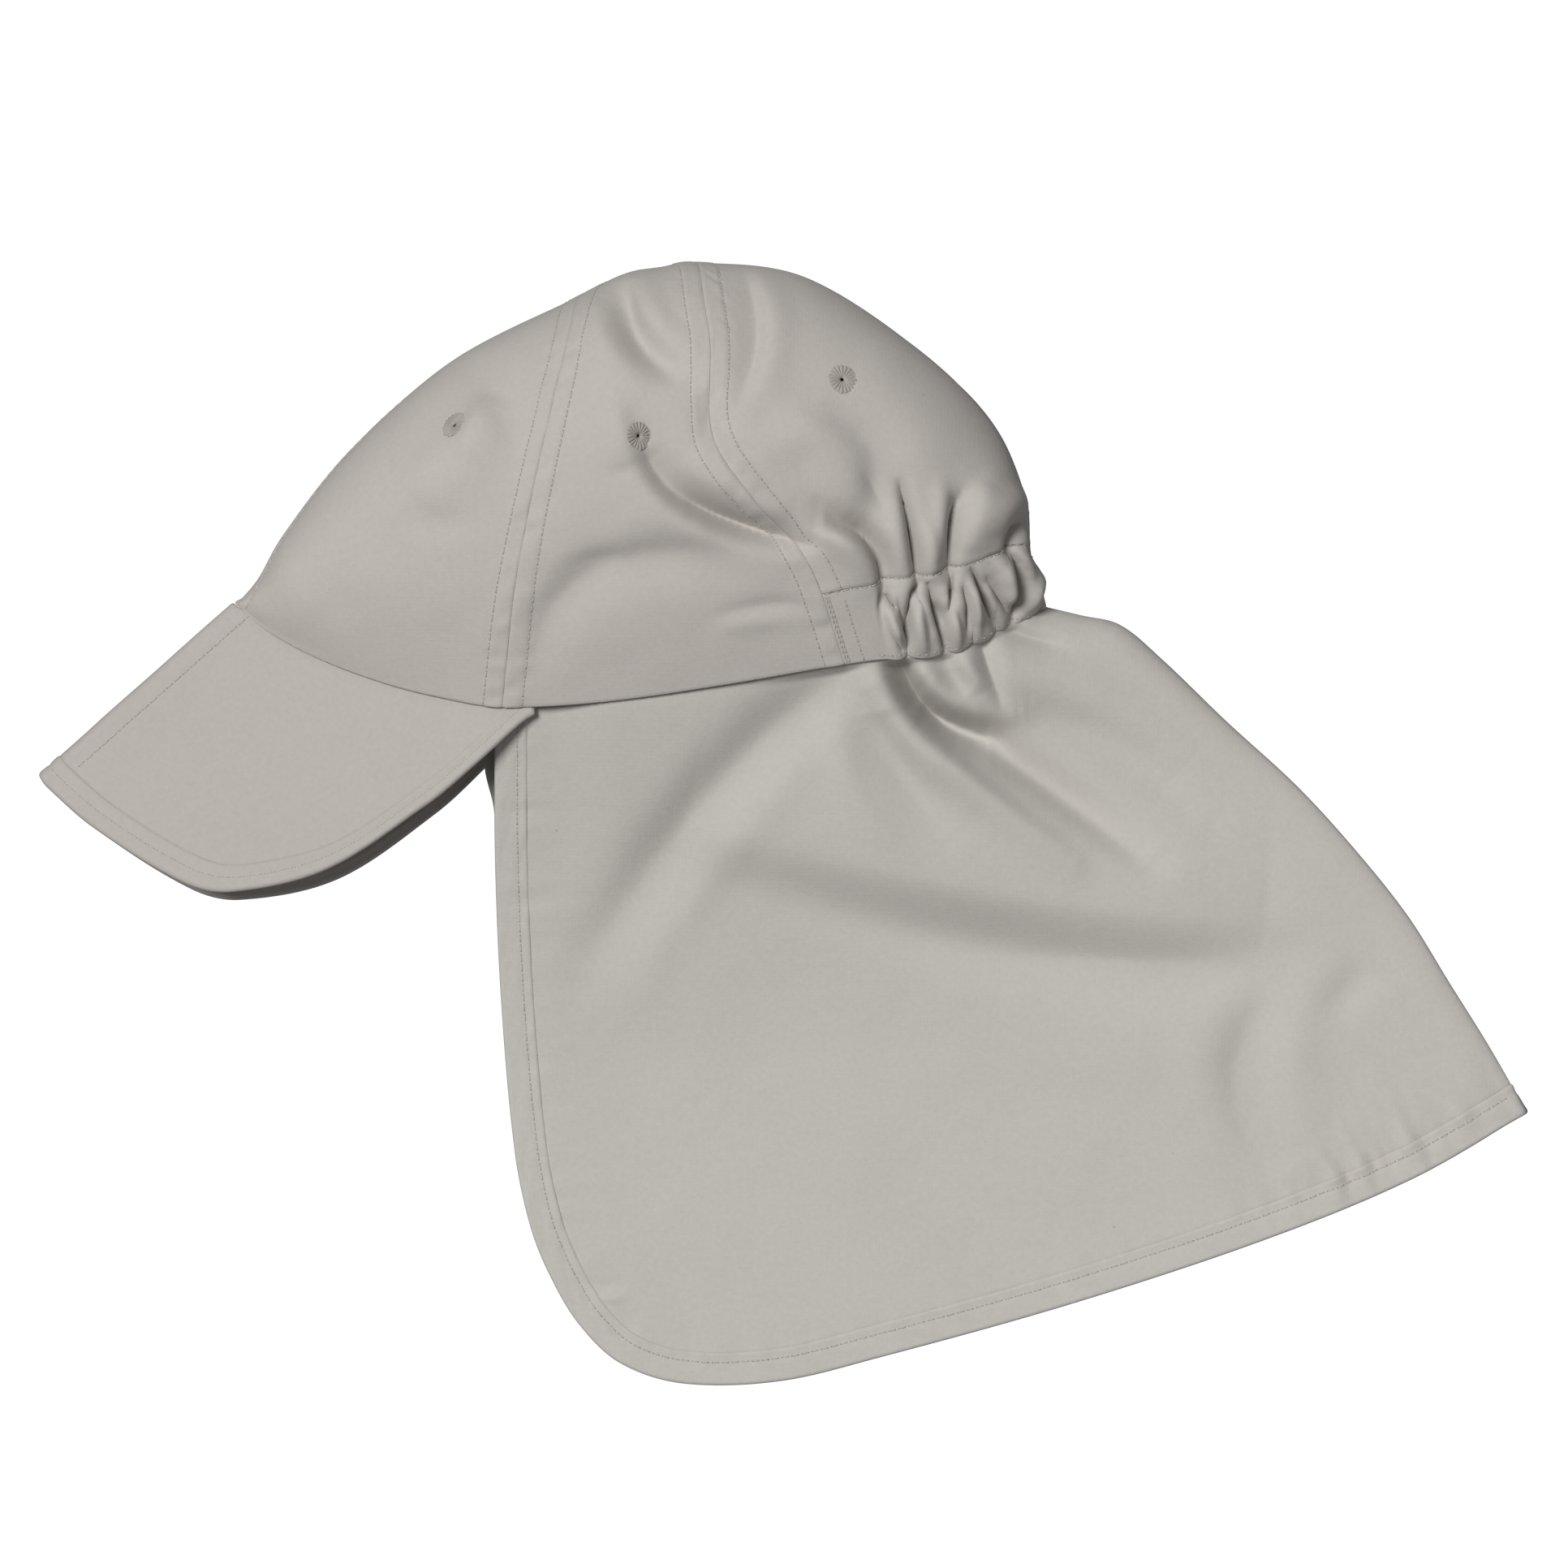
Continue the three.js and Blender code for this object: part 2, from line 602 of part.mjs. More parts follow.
function peakPoint(u, v) {
  const line = peakLine(u);
  const x = mix(line.root.x, line.edge.x, v);
  const y = mix(line.root.y, line.edge.y, v);
  const offFold = Math.abs(x * foldLine.y - y * foldLine.x);
  const bent = roundBend(offFold, peakFoldRadius);
  let z;
  if (line.facing > 0) {
    const rootZ = Math.max(line.root.z - peakStack, peakFoldHeight + peakFoldRadius);
    const rootOff = Math.abs(line.root.x * foldLine.y - line.root.y * foldLine.x);
    z = rootZ + peakSlope * (offFold - rootOff);
  } else {
    const past = v * line.length - line.tuck - peakEndOut;
    z = peakRest + (crownCloth + pieceGap + stackSlack) * (1 - ease(past / seatRamp));
  }
  return new THREE.Vector3(x, y, mix(peakFoldHeight, z, bent));
}

function bindingPoint(u, v) {
  const point = peakPoint(u, v);
  point.z = Math.max(point.z, bindingThickness / 2);
  return point;
}

// Share of each line across the peak where the binding starts.
function bindingStart(u) {
  const line = peakLine(u);
  return Math.max(1 - bindingWidth / line.length, 0);
}

// Neck flap. The upper layer hangs from the upper rim and comes to rest on the
// lower one, which lies on the floor.
const flapFront = crownPoint(flapFrontAt, 1);
const flapBackTop = rimTucked(1, 1, -foldClear);
const flapCorner = new THREE.Vector2(flapFront.x + flapLength, flapFront.y + flapEdge.at(-1).y * flapDrop);
const upperRest = hemThickness * 1.5 + layerGap;
const flapFoldHeight = (upperRest + flapCloth / 2) / 2;
const flapStack = (casingCloth + flapCloth) / 2 + pieceGap + stackSlack;
const underPeakStack = flapStack + bindingThickness + hemThickness / 2;
const flapHollow = 1.7;
const peakEndRamp = 0.05;
const frontHold = 0.05;
const backJoin = 0.04;
const frontJoin = 0.1;

function edgePoint(along) {
  const t = THREE.MathUtils.clamp(along, 0, 1);
  const tuck = tuckUnderRim * Math.max(1 - t / frontHold, 0);
  return new THREE.Vector2(
    flapFront.x + readTable(flapEdge, 'along', 'x', t) * flapLength,
    flapFront.y + readTable(flapEdge, 'along', 'y', t) * flapDrop + tuck,
  );
}

function backFoldPoint(along) {
  const run = new THREE.Vector2(flapCorner.x - flapBackTop.x, flapCorner.y - flapBackTop.y);
  const away = new THREE.Vector2(-run.y, run.x).normalize();
  const bow = readTable(backFoldBow, 'along', 'bow', along) * backFoldBulge;
  return new THREE.Vector2(
    flapBackTop.x + run.x * along + away.x * bow,
    flapBackTop.y + run.y * along + away.y * bow,
  );
}

const backFoldLength = Math.hypot(flapCorner.x - flapBackTop.x, flapCorner.y - flapBackTop.y);
const hemOnFold = 1 - hemWidth / backFoldLength;

// Inner line of the hem, a hem's width inside the edge.
function seamPoint(along) {
  const here = edgePoint(along);
  const ahead = edgePoint(along + tableStep);
  const behind = edgePoint(along - tableStep);
  const run = ahead.sub(behind).normalize();
  const inside = new THREE.Vector2(here.x - run.y * hemWidth, here.y + run.x * hemWidth);
  return inside.lerp(backFoldPoint(hemOnFold), ease((along - 1 + backJoin) / backJoin));
}

// Nearest place on a line of points: how far off it is and where along it.
function nearestOn(points, x, y) {
  let best = { off: Infinity, along: 0, below: 0 };
  for (let i = 0; i < points.length - 1; i += 1) {
    const a = points[i];
    const b = points[i + 1];
    const span = (b.x - a.x) ** 2 + (b.y - a.y) ** 2;
    const t = THREE.MathUtils.clamp(((x - a.x) * (b.x - a.x) + (y - a.y) * (b.y - a.y)) / span, 0, 1);
    const off = Math.hypot(x - mix(a.x, b.x, t), y - mix(a.y, b.y, t));
    if (off < best.off) {
      const turn = (b.x - a.x) * (y - a.y) - (b.y - a.y) * (x - a.x);
      best = { off, along: mix(a.at, b.at, t), below: turn < 0 ? off : -off };
    }
  }
  return best;
}

const rimSamples = 44;
const rimLine = Array.from({ length: rimSamples + 1 }, (_, i) => {
  const at = mix(flapFrontAt - peakEndRamp, 1, i / rimSamples);
  const rim = crownPoint(at, 1);
  return { x: rim.x, y: rim.y, at };
});
const backFoldLine = Array.from({ length: rimSamples + 1 }, (_, i) => {
  const fold = backFoldPoint(i / rimSamples);
  return { x: fold.x, y: fold.y, at: i / rimSamples };
});

// Height of the middle of the cloth of one layer, seen from above.
function flapHeight(x, y, facing, cloth) {
  const rim = nearestOn(rimLine, x, y);
  const behindPeak = 1 - ease((rim.along - peakEndAt - tableStep) / peakEndRamp);
  const below = Math.max(rim.below, 0);
  let z;
  if (facing > 0) {
    const stack = mix(flapStack, underPeakStack, behindPeak);
    const lift = readTable(crownSections, 'at', 'lift', rim.along) * rimLift;
    const fall = Math.max(1 - below / flapSlopeLength, 0) ** flapHollow;
    const drop = Math.max(lift - stack - upperRest, 0) * fall;
    const rise = foldRise(flapFolds, x, y, flapFront.x, flapFront.y, flapLength, flapDrop);
    z = upperRest + Math.max(drop + rise * ease(below / foldFade), 0);
  } else {
    const seat = casingCloth + pieceGap + stackSlack;
    const seatUnderPeak = seat + bindingThickness + pieceGap + stackSlack;
    const past = (below - peakEndOut - peakOverFlap * behindPeak) / seatRamp;
    z = cloth / 2 + mix(seat, seatUnderPeak, behindPeak) * (1 - ease(past));
  }
  const fold = nearestOn(backFoldLine, x, y);
  return mix(flapFoldHeight, z, roundBend(fold.off, flapFoldDepth));
}

// Inner part of the flap: u runs from the front of the lower layer over the
// back fold at 0.5 to the front of the upper layer, v from the rim to the hem.
function flapPoint(u, v) {
  const share = Math.abs(2 * u - 1);
  const facing = u < 0.5 ? -1 : 1;
  const frontTop = seamPoint(0);
  const topAt = mix(1, flapFrontAt + hemWidth / crownLength, share);
  const tuck = mix(-foldClear, tuckUnderRim, ease(share / foldHold));
  const held = rimTucked(topAt, 1, tuck);
  const top = new THREE.Vector2(held.x, held.y).lerp(frontTop, ease((share - 1 + frontJoin) / frontJoin));
  const bottom = seamPoint(mix(1, flapCornerAlong, share));
  const back = backFoldPoint(mix(0, hemOnFold, v));
  const front = seamPoint(mix(0, flapCornerAlong, v));
  const cornerBack = backFoldPoint(hemOnFold);
  const cornerFront = seamPoint(flapCornerAlong);
  const blend = (k) => mix(top[k], bottom[k], v) + mix(back[k], front[k], share)
    - mix(mix(flapBackTop[k], frontTop[k], share), mix(cornerBack[k], cornerFront[k], share), v);
  const x = blend('x');
  const y = blend('y');
  return new THREE.Vector3(x, y, flapHeight(x, y, facing, flapCloth));
}

// Hem: u as on the flap, v from its inner seam to the outer edge.
function hemPoint(u, v) {
  const along = 1 - Math.abs(2 * u - 1);
  const facing = u < 0.5 ? -1 : 1;
  const place = seamPoint(along).lerp(edgePoint(along), v);
  return new THREE.Vector3(place.x, place.y, flapHeight(place.x, place.y, facing, hemThickness));
}

// Columns of a folded piece from those of one half, given from the fold out.
function foldedColumns(shares) {
  const half = shares.slice(1);
  return [...half.slice().reverse().map((t) => 0.5 - 0.5 * t), 0.5, ...half.map((t) => 0.5 + 0.5 * t)];
}

function strip(surface, columns, rowShares, thickness) {
  const rows = rowShares.map((v) => columns.map((u) => {
    const share = typeof v === 'function' ? v(u) : v;
    return { point: surface(u, share), normal: normalOf(surface, u, share) };
  }));
  return clothWall(rows, thickness, pieceGap);
}

function evenShares(count) {
  return Array.from({ length: count + 1 }, (_, i) => i / count);
}

const casingColumnCount = 3 * panelColumns;
const peakColumnCount = 20;
const peakRowCount = 4;
const plateEnd = 0.2;
const flapColumnCount = 20;
const flapRowCount = 16;
const meshes = [];

function addMesh(name, geometry, colour, roughness) {
  const material = new THREE.MeshStandardMaterial({ color: colour, roughness, metalness: 0 });
  const mesh = new THREE.Mesh(geometry, material);
  mesh.name = name;
  meshes.push(mesh);
}

// A ring of thread as thick as the cloth, lying in its hole.
function eyeletRing() {
  const rim = crownCloth / 2;
  const profile = [
    new THREE.Vector2(eyeletHole / 2, -rim),
    new THREE.Vector2(eyeletDiameter / 2, -rim),
    new THREE.Vector2(eyeletDiameter / 2, rim),
    new THREE.Vector2(eyeletHole / 2, rim),
    new THREE.Vector2(eyeletHole / 2, -rim),
  ];
  return closedSolid(new THREE.LatheGeometry(profile, eyeletSides));
}

// Merges doubled corners, so that a shape is one closed body.
function closedSolid(geometry) {
  geometry.deleteAttribute('normal');
  geometry.deleteAttribute('uv');
  return outward(mergeVertices(geometry, 1e-4));
}

function toManifold(geometry) {
  return new wasm.Manifold(new wasm.Mesh({
    numProp: 3,
    vertProperties: new Float32Array(geometry.getAttribute('position').array),
    triVerts: new Uint32Array(geometry.getIndex().array),
  }));
}

function fromManifold(solid) {
  const mesh = solid.getMesh();
  const geometry = new THREE.BufferGeometry();
  geometry.setAttribute('position', new THREE.BufferAttribute(new Float32Array(mesh.vertProperties), 3));
  geometry.setIndex(new THREE.BufferAttribute(new Uint32Array(mesh.triVerts), 1));
  return geometry;
}

// Sets a shape made round the Y axis square on the crown at an eyelet's place.
function setOnCrown(geometry, place) {
  const centre = crownPoint(place.at, place.side);
  const turn = new THREE.Quaternion().setFromUnitVectors(
    new THREE.Vector3(0, 1, 0),
    crownNormal(place.at, place.side),
  );
  return geometry.applyQuaternion(turn).translate(centre.x, centre.y, centre.z);
}

// Cuts the round hole that an eyelet sits in through its panel.
function cutEyeletHole(panel, place) {
  const radius = eyeletDiameter / 2 + pieceGap;
  const drill = new THREE.CylinderGeometry(radius, radius, crownCloth * 6, eyeletSides);
  const placed = setOnCrown(closedSolid(drill), place);
  return fromManifold(toManifold(panel).subtract(toManifold(placed)));
}

const panels = {
  crown_front_left: crownPanel(frontPanel(1), panelRows),
  crown_side_left: crownPanel(sidePanel(1), panelRows),
  crown_back_left: crownPanel(backPanel(1), panelRows - casingRows),
  crown_front_right: crownPanel(frontPanel(-1), panelRows),
  crown_side_right: crownPanel(sidePanel(-1), panelRows),
  crown_back_right: crownPanel(backPanel(-1), panelRows - casingRows),
};

for (const place of eyeletPlaces) {
  panels[place.panel] = cutEyeletHole(panels[place.panel], place);
}
for (const [name, geometry] of Object.entries(panels)) {
  addMesh(name, geometry, clothColour, 0.85);
}

const casingColumns = foldedColumns(evenShares(casingColumnCount));
const casingShares = evenShares(2 * casingRows).map((v) => v * (1 - casingSeamGap));
addMesh('back_casing', strip(casingPoint, casingColumns, casingShares, casingCloth), clothColour, 0.85);

const bindingColumns = foldedColumns(evenShares(peakColumnCount).map((t) => t ** 1.4));
const plateColumns = bindingColumns.filter((u) => bindingStart(u) > plateEnd);
const plateShares = evenShares(peakRowCount).map((v) => (u) => v * bindingStart(u));
const bindingShares = evenShares(2).map((v) => (u) => mix(bindingStart(u), 1, v));
addMesh('peak', strip(peakPoint, plateColumns, plateShares, peakThickness), peakColour, 0.8);
addMesh('peak_binding', strip(bindingPoint, bindingColumns, bindingShares, bindingThickness), peakColour, 0.8);

const flapShares = evenShares(flapColumnCount).map((t) => 0.5 - 0.5 * Math.cos(Math.PI * t));
const flapRows = evenShares(flapRowCount).map((t) => Math.sin(Math.PI / 2 * t));
const hemShares = [
  ...flapShares.map((t) => 1 - mix(1, flapCornerAlong, t)),
  ...flapRows.slice(0, -1).reverse().map((t) => 1 - flapCornerAlong * t),
];
addMesh('neck_flap', strip(flapPoint, foldedColumns(flapShares), flapRows, flapCloth), clothColour, 0.85);
addMesh('flap_hem', strip(hemPoint, foldedColumns(hemShares), evenShares(2), hemThickness), clothColour, 0.85);

for (const place of eyeletPlaces) {
  addMesh(place.name, setOnCrown(eyeletRing(), place), threadColour, 0.7);
}

const group = new THREE.Group();
group.add(...meshes);

// The whole cap stands on the origin, centred over it.
const bounds = new THREE.Box3().setFromObject(group);
const middle = bounds.getCenter(new THREE.Vector3());
group.position.set(-middle.x, -middle.y, -bounds.min.z);

export default group;
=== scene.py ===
# A soft six-panel sun cap with a foldable peak, a gathered elastic band at the
# back and a long neck flap, lying on its side and folded at its mid-plane.
# Sizes below are millimetres in the cap's own frame, whose origin is the front
# of the rim; meshes are made in metres in the shared frame.

import math
from collections import namedtuple

import bpy
import numpy as np
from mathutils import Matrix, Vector


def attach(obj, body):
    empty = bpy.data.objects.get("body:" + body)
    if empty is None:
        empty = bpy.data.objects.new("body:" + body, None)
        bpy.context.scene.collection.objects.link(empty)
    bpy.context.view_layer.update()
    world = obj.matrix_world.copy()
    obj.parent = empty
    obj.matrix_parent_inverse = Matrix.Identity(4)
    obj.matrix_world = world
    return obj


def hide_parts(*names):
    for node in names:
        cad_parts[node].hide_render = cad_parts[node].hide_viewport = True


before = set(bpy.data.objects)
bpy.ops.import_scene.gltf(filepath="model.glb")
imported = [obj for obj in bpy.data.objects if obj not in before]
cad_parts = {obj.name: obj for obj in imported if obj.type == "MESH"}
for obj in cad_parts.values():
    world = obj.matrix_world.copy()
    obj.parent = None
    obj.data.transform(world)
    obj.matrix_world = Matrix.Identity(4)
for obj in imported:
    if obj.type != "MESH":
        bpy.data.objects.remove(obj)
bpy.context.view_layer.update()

# Place of the cap's own origin in the shared frame
ORIGIN_X = -168.94
ORIGIN_Y = 67.25

# Cloth
CROWN_CLOTH = 1.0
FLAP_CLOTH = 0.9
CASING_CLOTH = 1.1
HEM_THICKNESS = 1.7
PEAK_THICKNESS = 2.3
BINDING_THICKNESS = 2.7

# Crown
CROWN_LENGTH = 249.3
CROWN_HEIGHT = 106.0
CROWN_PUFF = 57.0
BEND_HEIGHT = 17.0
BEND_DEPTH = 15.0
RIM_LIFT = 36.0
CREST_PLACE = 0.42
LOWER_BEND_SHARE = 0.18
TUCK_UNDER_RIM = 3.5
FOLD_CLEAR = 0.5
SEAM_BAND = 6.0
SEAM_ROUND = 0.22
OUTLINE_INSET = 0.9

# Peak
PEAK_REACH = 79.9
PEAK_DROOP = 41.6
PEAK_BULGE = 45.5
PEAK_SLOPE = 0.345
PEAK_FOLD_RADIUS = 1.8
PEAK_END_AT = 0.398
PEAK_SQUEEZE = 0.05
BINDING_WIDTH = 8.0

# Flap
FLAP_LENGTH = 317.2
FLAP_DROP = 209.0
FLAP_FRONT_AT = 0.362
FLAP_CORNER_ALONG = 0.4
BACK_FOLD_BULGE = 18.0
HEM_WIDTH = 9.5
LOWER_FRONT_OUT = 3.4
LOWER_FRONT_AT = 0.036
LOWER_FRONT_SPREAD = 0.018
FLAP_FOLD_DEPTH = 8.0
FLAP_SLOPE_LENGTH = 112.0
UPPER_REST = 3.0
BACK_TOP_CLEAR = 0.4

# Eyelets
EYELET_RADIUS = 4.4
EYELET_HOLE = 0.55
EYELET_SEAT = 3.8
EYELET_THREADS = 19
THREAD_STEPS = 8
DRILL_SIDES = 36
DRILL_REACH = 4

# Stitches, what they draw into the cloth, and the strips of painted shade round them
STITCH_LENGTH = 2.1
STITCH_GAP = 1.0
PEAK_STITCH_LENGTH = 2.4
PEAK_STITCH_GAP = 0.9
STITCH_RADIUS = 0.17
STITCH_SIDES = 6
ROW_END_GAP = 0.6
# How far the strips of painted shade round the stitches sit above the cloth
SHADE_STRIP_LIFT = 0.03
PEAK_ROW_FROM_FOLD = 5.7
BAND_RISE = 0.26
SEAM_DEPTH = 0.22
ROW_DEPTH = 0.25
PUCKER_RISE = 0.42
PUCKER_LENGTH = 3.4


def table(columns, *rows):
    """Rows of a table as tuples with named columns."""
    row_kind = namedtuple("Row", columns)
    return [row_kind(*row) for row in rows]


# The crown from front to back, as shares of its length, height, bend, puff and
# lift: its outline, its rim, and the heights of the bend, the crest and the rim
CROWN_SECTIONS = table(
    "at out_x out_y rim_x rim_y bend crest lift",
    (0.0, 0.0, 0.0, 0.0, 0.0, 0.19, 0.1, 0.18),
    (0.06, 0.028, 0.075, 0.046, -0.085, 0.3, 0.27, 0.325),
    (0.13, 0.062, 0.212, 0.108, -0.162, 0.42, 0.45, 0.475),
    (0.21, 0.145, 0.455, 0.184, -0.229, 0.6, 0.65, 0.635),
    (0.29, 0.27, 0.712, 0.255, -0.272, 0.78, 0.82, 0.765),
    (0.37, 0.422, 0.893, 0.332, -0.3, 0.9, 0.94, 0.905),
    (0.45, 0.481, 0.962, 0.455, -0.285, 0.96, 0.99, 0.98),
    (0.53, 0.526, 0.982, 0.6, -0.237, 1.0, 1.0, 1.0),
    (0.6, 0.57, 0.994, 0.753, -0.175, 1.0, 0.97, 0.95),
    (0.7, 0.701, 0.953, 0.823, -0.156, 0.98, 0.88, 0.85),
    (0.8, 0.842, 0.744, 0.882, -0.137, 0.9, 0.76, 0.72),
    (0.88, 0.935, 0.528, 0.927, -0.096, 0.76, 0.6, 0.56),
    (0.95, 0.977, 0.295, 0.967, -0.045, 0.54, 0.4, 0.38),
    (0.97, 0.98, 0.15, 0.985, -0.024, 0.42, 0.28, 0.31),
    (1.0, 1.0, -0.008, 1.0, -0.008, 0.25, 0.14, 0.22),
)

# Where each seam of the crown runs, and the upper edge of the casing
SEAM_COLUMNS = "side at"
FRONT_SIDE_SEAM = table(
    SEAM_COLUMNS,
    (-1.0, 0.37), (-0.25, 0.44), (0.0, 0.38), (0.25, 0.371),
    (0.5, 0.364), (0.75, 0.361), (1.0, 0.369),
)
SIDE_BACK_SEAM = table(
    SEAM_COLUMNS,
    (-1.0, 0.6), (-0.25, 0.52), (0.0, 0.595), (0.3, 0.585),
    (0.52, 0.556), (0.66, 0.574), (0.8, 0.6), (1.0, 0.6),
)
APEX_AT = 0.48
APEX_SIDE = -0.25
APEX_HOLE = 0.5
FRONT_FOLD_SIDE = 0.03
BACK_FOLD_SIDE = -0.03

CASING_TOP = table(
    "at side",
    (0.6, 0.86), (0.7, 0.845), (0.8, 0.8), (0.88, 0.71),
    (0.94, 0.55), (0.968, 0.3), (0.972, 0.0),
)

# The peak's outer edge along its chord, and the flap's from front to back
PEAK_EDGE = table(
    "along chord out",
    (0.0, 0.0, 0.0), (0.03, 0.012, 0.07), (0.12, 0.096, 0.39),
    (0.31, 0.273, 0.88), (0.4, 0.367, 0.99), (0.58, 0.565, 0.934),
    (0.78, 0.774, 0.582), (0.89, 0.88, 0.33), (1.0, 1.0, 0.0),
)

FLAP_EDGE = table(
    "along x y",
    (0.0, 0.0, 0.0), (0.094, 0.0, -0.228), (0.183, 0.006, -0.444),
    (0.272, 0.019, -0.659), (0.317, 0.034, -0.767), (0.349, 0.053, -0.839),
    (0.384, 0.081, -0.91), (0.417, 0.12, -0.966), (0.457, 0.18, -0.996),
    (0.516, 0.274, -0.993), (0.577, 0.369, -0.959), (0.7, 0.558, -0.879),
    (0.824, 0.747, -0.784), (0.92, 0.889, -0.695), (1.0, 1.0, -0.599),
)

# How far the flap's fold at the back stands out from a straight line
BACK_FOLD_BOW = table(
    "along bow",
    (0.0, 0.0), (0.043, 0.333), (0.09, 0.7), (0.163, 0.817),
    (0.297, 0.889), (0.436, 1.0), (0.562, 0.967), (0.68, 0.839),
    (0.788, 0.572), (0.896, 0.306), (1.0, 0.0),
)

# Folds as they are seen from above: a line from one end over a middle to the
# other in millimetres of the shared frame, the rise of the cloth there (a dent
# is below zero), and the width to the left and to the right of the line
FOLD_COLUMNS = "start middle end rise left right"
CROWN_FOLDS = table(
    FOLD_COLUMNS,
    ((-43, 114), (-27, 95.5), (7, 84.5), -7.6, 7, 2.8),
    ((-30, 98.5), (-14, 89.5), (6, 85), -5.4, 4, 2.6),
    ((-46, 108), (-29, 91), (6, 80), 2.4, 4, 9),
    ((-30, 112), (-16, 102), (2, 94), 2.6, 7, 6),
    ((-49, 167), (-45.5, 151), (-31, 136), -5.8, 5, 5),
    ((-57, 161), (-55, 146), (-42, 130), 2.0, 4.5, 7),
    ((-46.5, 167.5), (-41, 153.5), (-31.5, 144), 2.0, 5.5, 1.9),
    ((-24, 134), (-22, 126), (-16, 116), -2.4, 4, 5),
    ((-76, 48), (-55, 77.5), (4, 81), -3.4, 6, 9),
    ((-114, 100), (-102, 112), (-88, 124), 2.6, 8, 12),
    ((-118, 96), (-108, 92), (-96, 92), -1.4, 6, 6),
    ((-12, 168), (-8, 149), (-14, 130), -2.6, 2.6, 6),
    ((-7, 168), (-3.6, 149), (-9, 129), 1.3, 6, 2.6),
    ((-10, 112), (10, 119), (20, 98), 2.4, 8, 8),
    ((10, 126), (28, 113), (24, 90), -1.8, 9, 5),
    ((9, 90), (19, 85.5), (25.8, 74), 4.0, 4, 5),
    ((12, 90.5), (25.8, 85.5), (29.8, 70), -8.5, 5, 1.2),
    ((31, 98), (34, 86), (35.5, 76), 3.2, 4, 4),
    ((36, 104), (39, 88), (41.4, 68), -6.4, 2.0, 1.5),
    ((43.6, 92), (44.8, 84), (45.2, 76), 2.6, 2.4, 2.6),
    ((47.6, 104), (48.4, 92), (48.2, 80), 2.6, 3, 3),
    ((55, 100), (52.2, 90), (51.6, 71), -6.2, 1.2, 3.2),
    ((62, 104), (58.5, 94), (56.5, 83), 3.8, 6, 3),
    ((75.5, 91.5), (71, 89.5), (69, 80), -4.6, 1.8, 2.0),
    ((75, 99), (67, 96), (64, 88), 2.6, 4, 5),
    ((8, 100), (14, 95), (20, 90), -1.4, 3, 3),
    ((24, 108), (30, 98), (32, 90), -1.8, 3, 3),
    ((-68, 78), (-58, 81), (-50, 81), -0.9, 2.5, 4),
    ((-20, 64), (-4, 67), (6, 66), -1.1, 2, 3),
    ((-20, 60), (-8, 62), (4, 62), 0.8, 2, 3),
    ((-100, 146), (-86, 128), (-82, 112), -1.6, 8, 6),
    ((-53, 130), (-50, 119), (-47, 109), 3.4, 5, 8),
    ((-90, 131), (-93, 121), (-98, 111), 2.8, 8, 4.5),
    ((-136, 92), (-120, 84), (-104, 80), -0.8, 9, 9),
    ((20, 138), (36, 126), (50, 108), 1.2, 10, 10),
)
CASING_FOLDS = table(
    FOLD_COLUMNS,
    ((30.4, 73.6), (28.4, 64.5), (27.6, 48), -5.4, 2.4, 0.7),
    ((24, 70), (25, 62), (24.6, 54), 0.9, 3, 1.5),
    ((31.2, 70.4), (32.2, 68), (34.5, 65.5), -3.0, 1.0, 1.0),
    ((31.4, 66), (33.4, 60.5), (36.6, 54), 2.2, 1.3, 1.2),
    ((35, 68.5), (36.4, 61), (37.6, 56), -3.0, 1.2, 1.0),
    ((33, 58), (35, 55), (36.4, 52), -2.0, 1.2, 1.0),
    ((41.2, 73.5), (38.8, 65), (38.2, 50), -5.0, 0.8, 1.5),
    ((40.4, 66), (41.4, 60), (42.6, 53), 2.2, 1.6, 2.0),
    ((42.8, 73.5), (45.6, 66), (50.2, 48.5), -5.8, 2.2, 0.8),
    ((47.4, 68), (48.8, 64), (50, 60), -2.2, 0.9, 1.1),
    ((49, 71), (51.4, 62), (53, 54), 2.0, 1.4, 1.8),
    ((51.8, 76), (51, 70), (50.2, 62.5), -3.2, 1.1, 1.3),
    ((54.6, 73), (56, 66), (55.4, 58), -2.6, 1.1, 1.1),
    ((57.2, 78.5), (61, 71), (64.6, 60), -4.2, 1.2, 1.7),
    ((57, 75), (57.8, 68), (59, 58), 2.0, 1.3, 1.4),
    ((61.4, 76.5), (65.5, 69.5), (68.6, 65), -2.6, 1.4, 1.2),
    ((65, 81), (68, 74), (68, 68), 2.4, 2.0, 1.6),
    ((69.2, 83), (73.4, 75), (69.4, 61), -5.8, 0.8, 1.9),
    ((73, 82), (76.8, 73), (73.6, 66), 2.2, 2.0, 1.6),
)
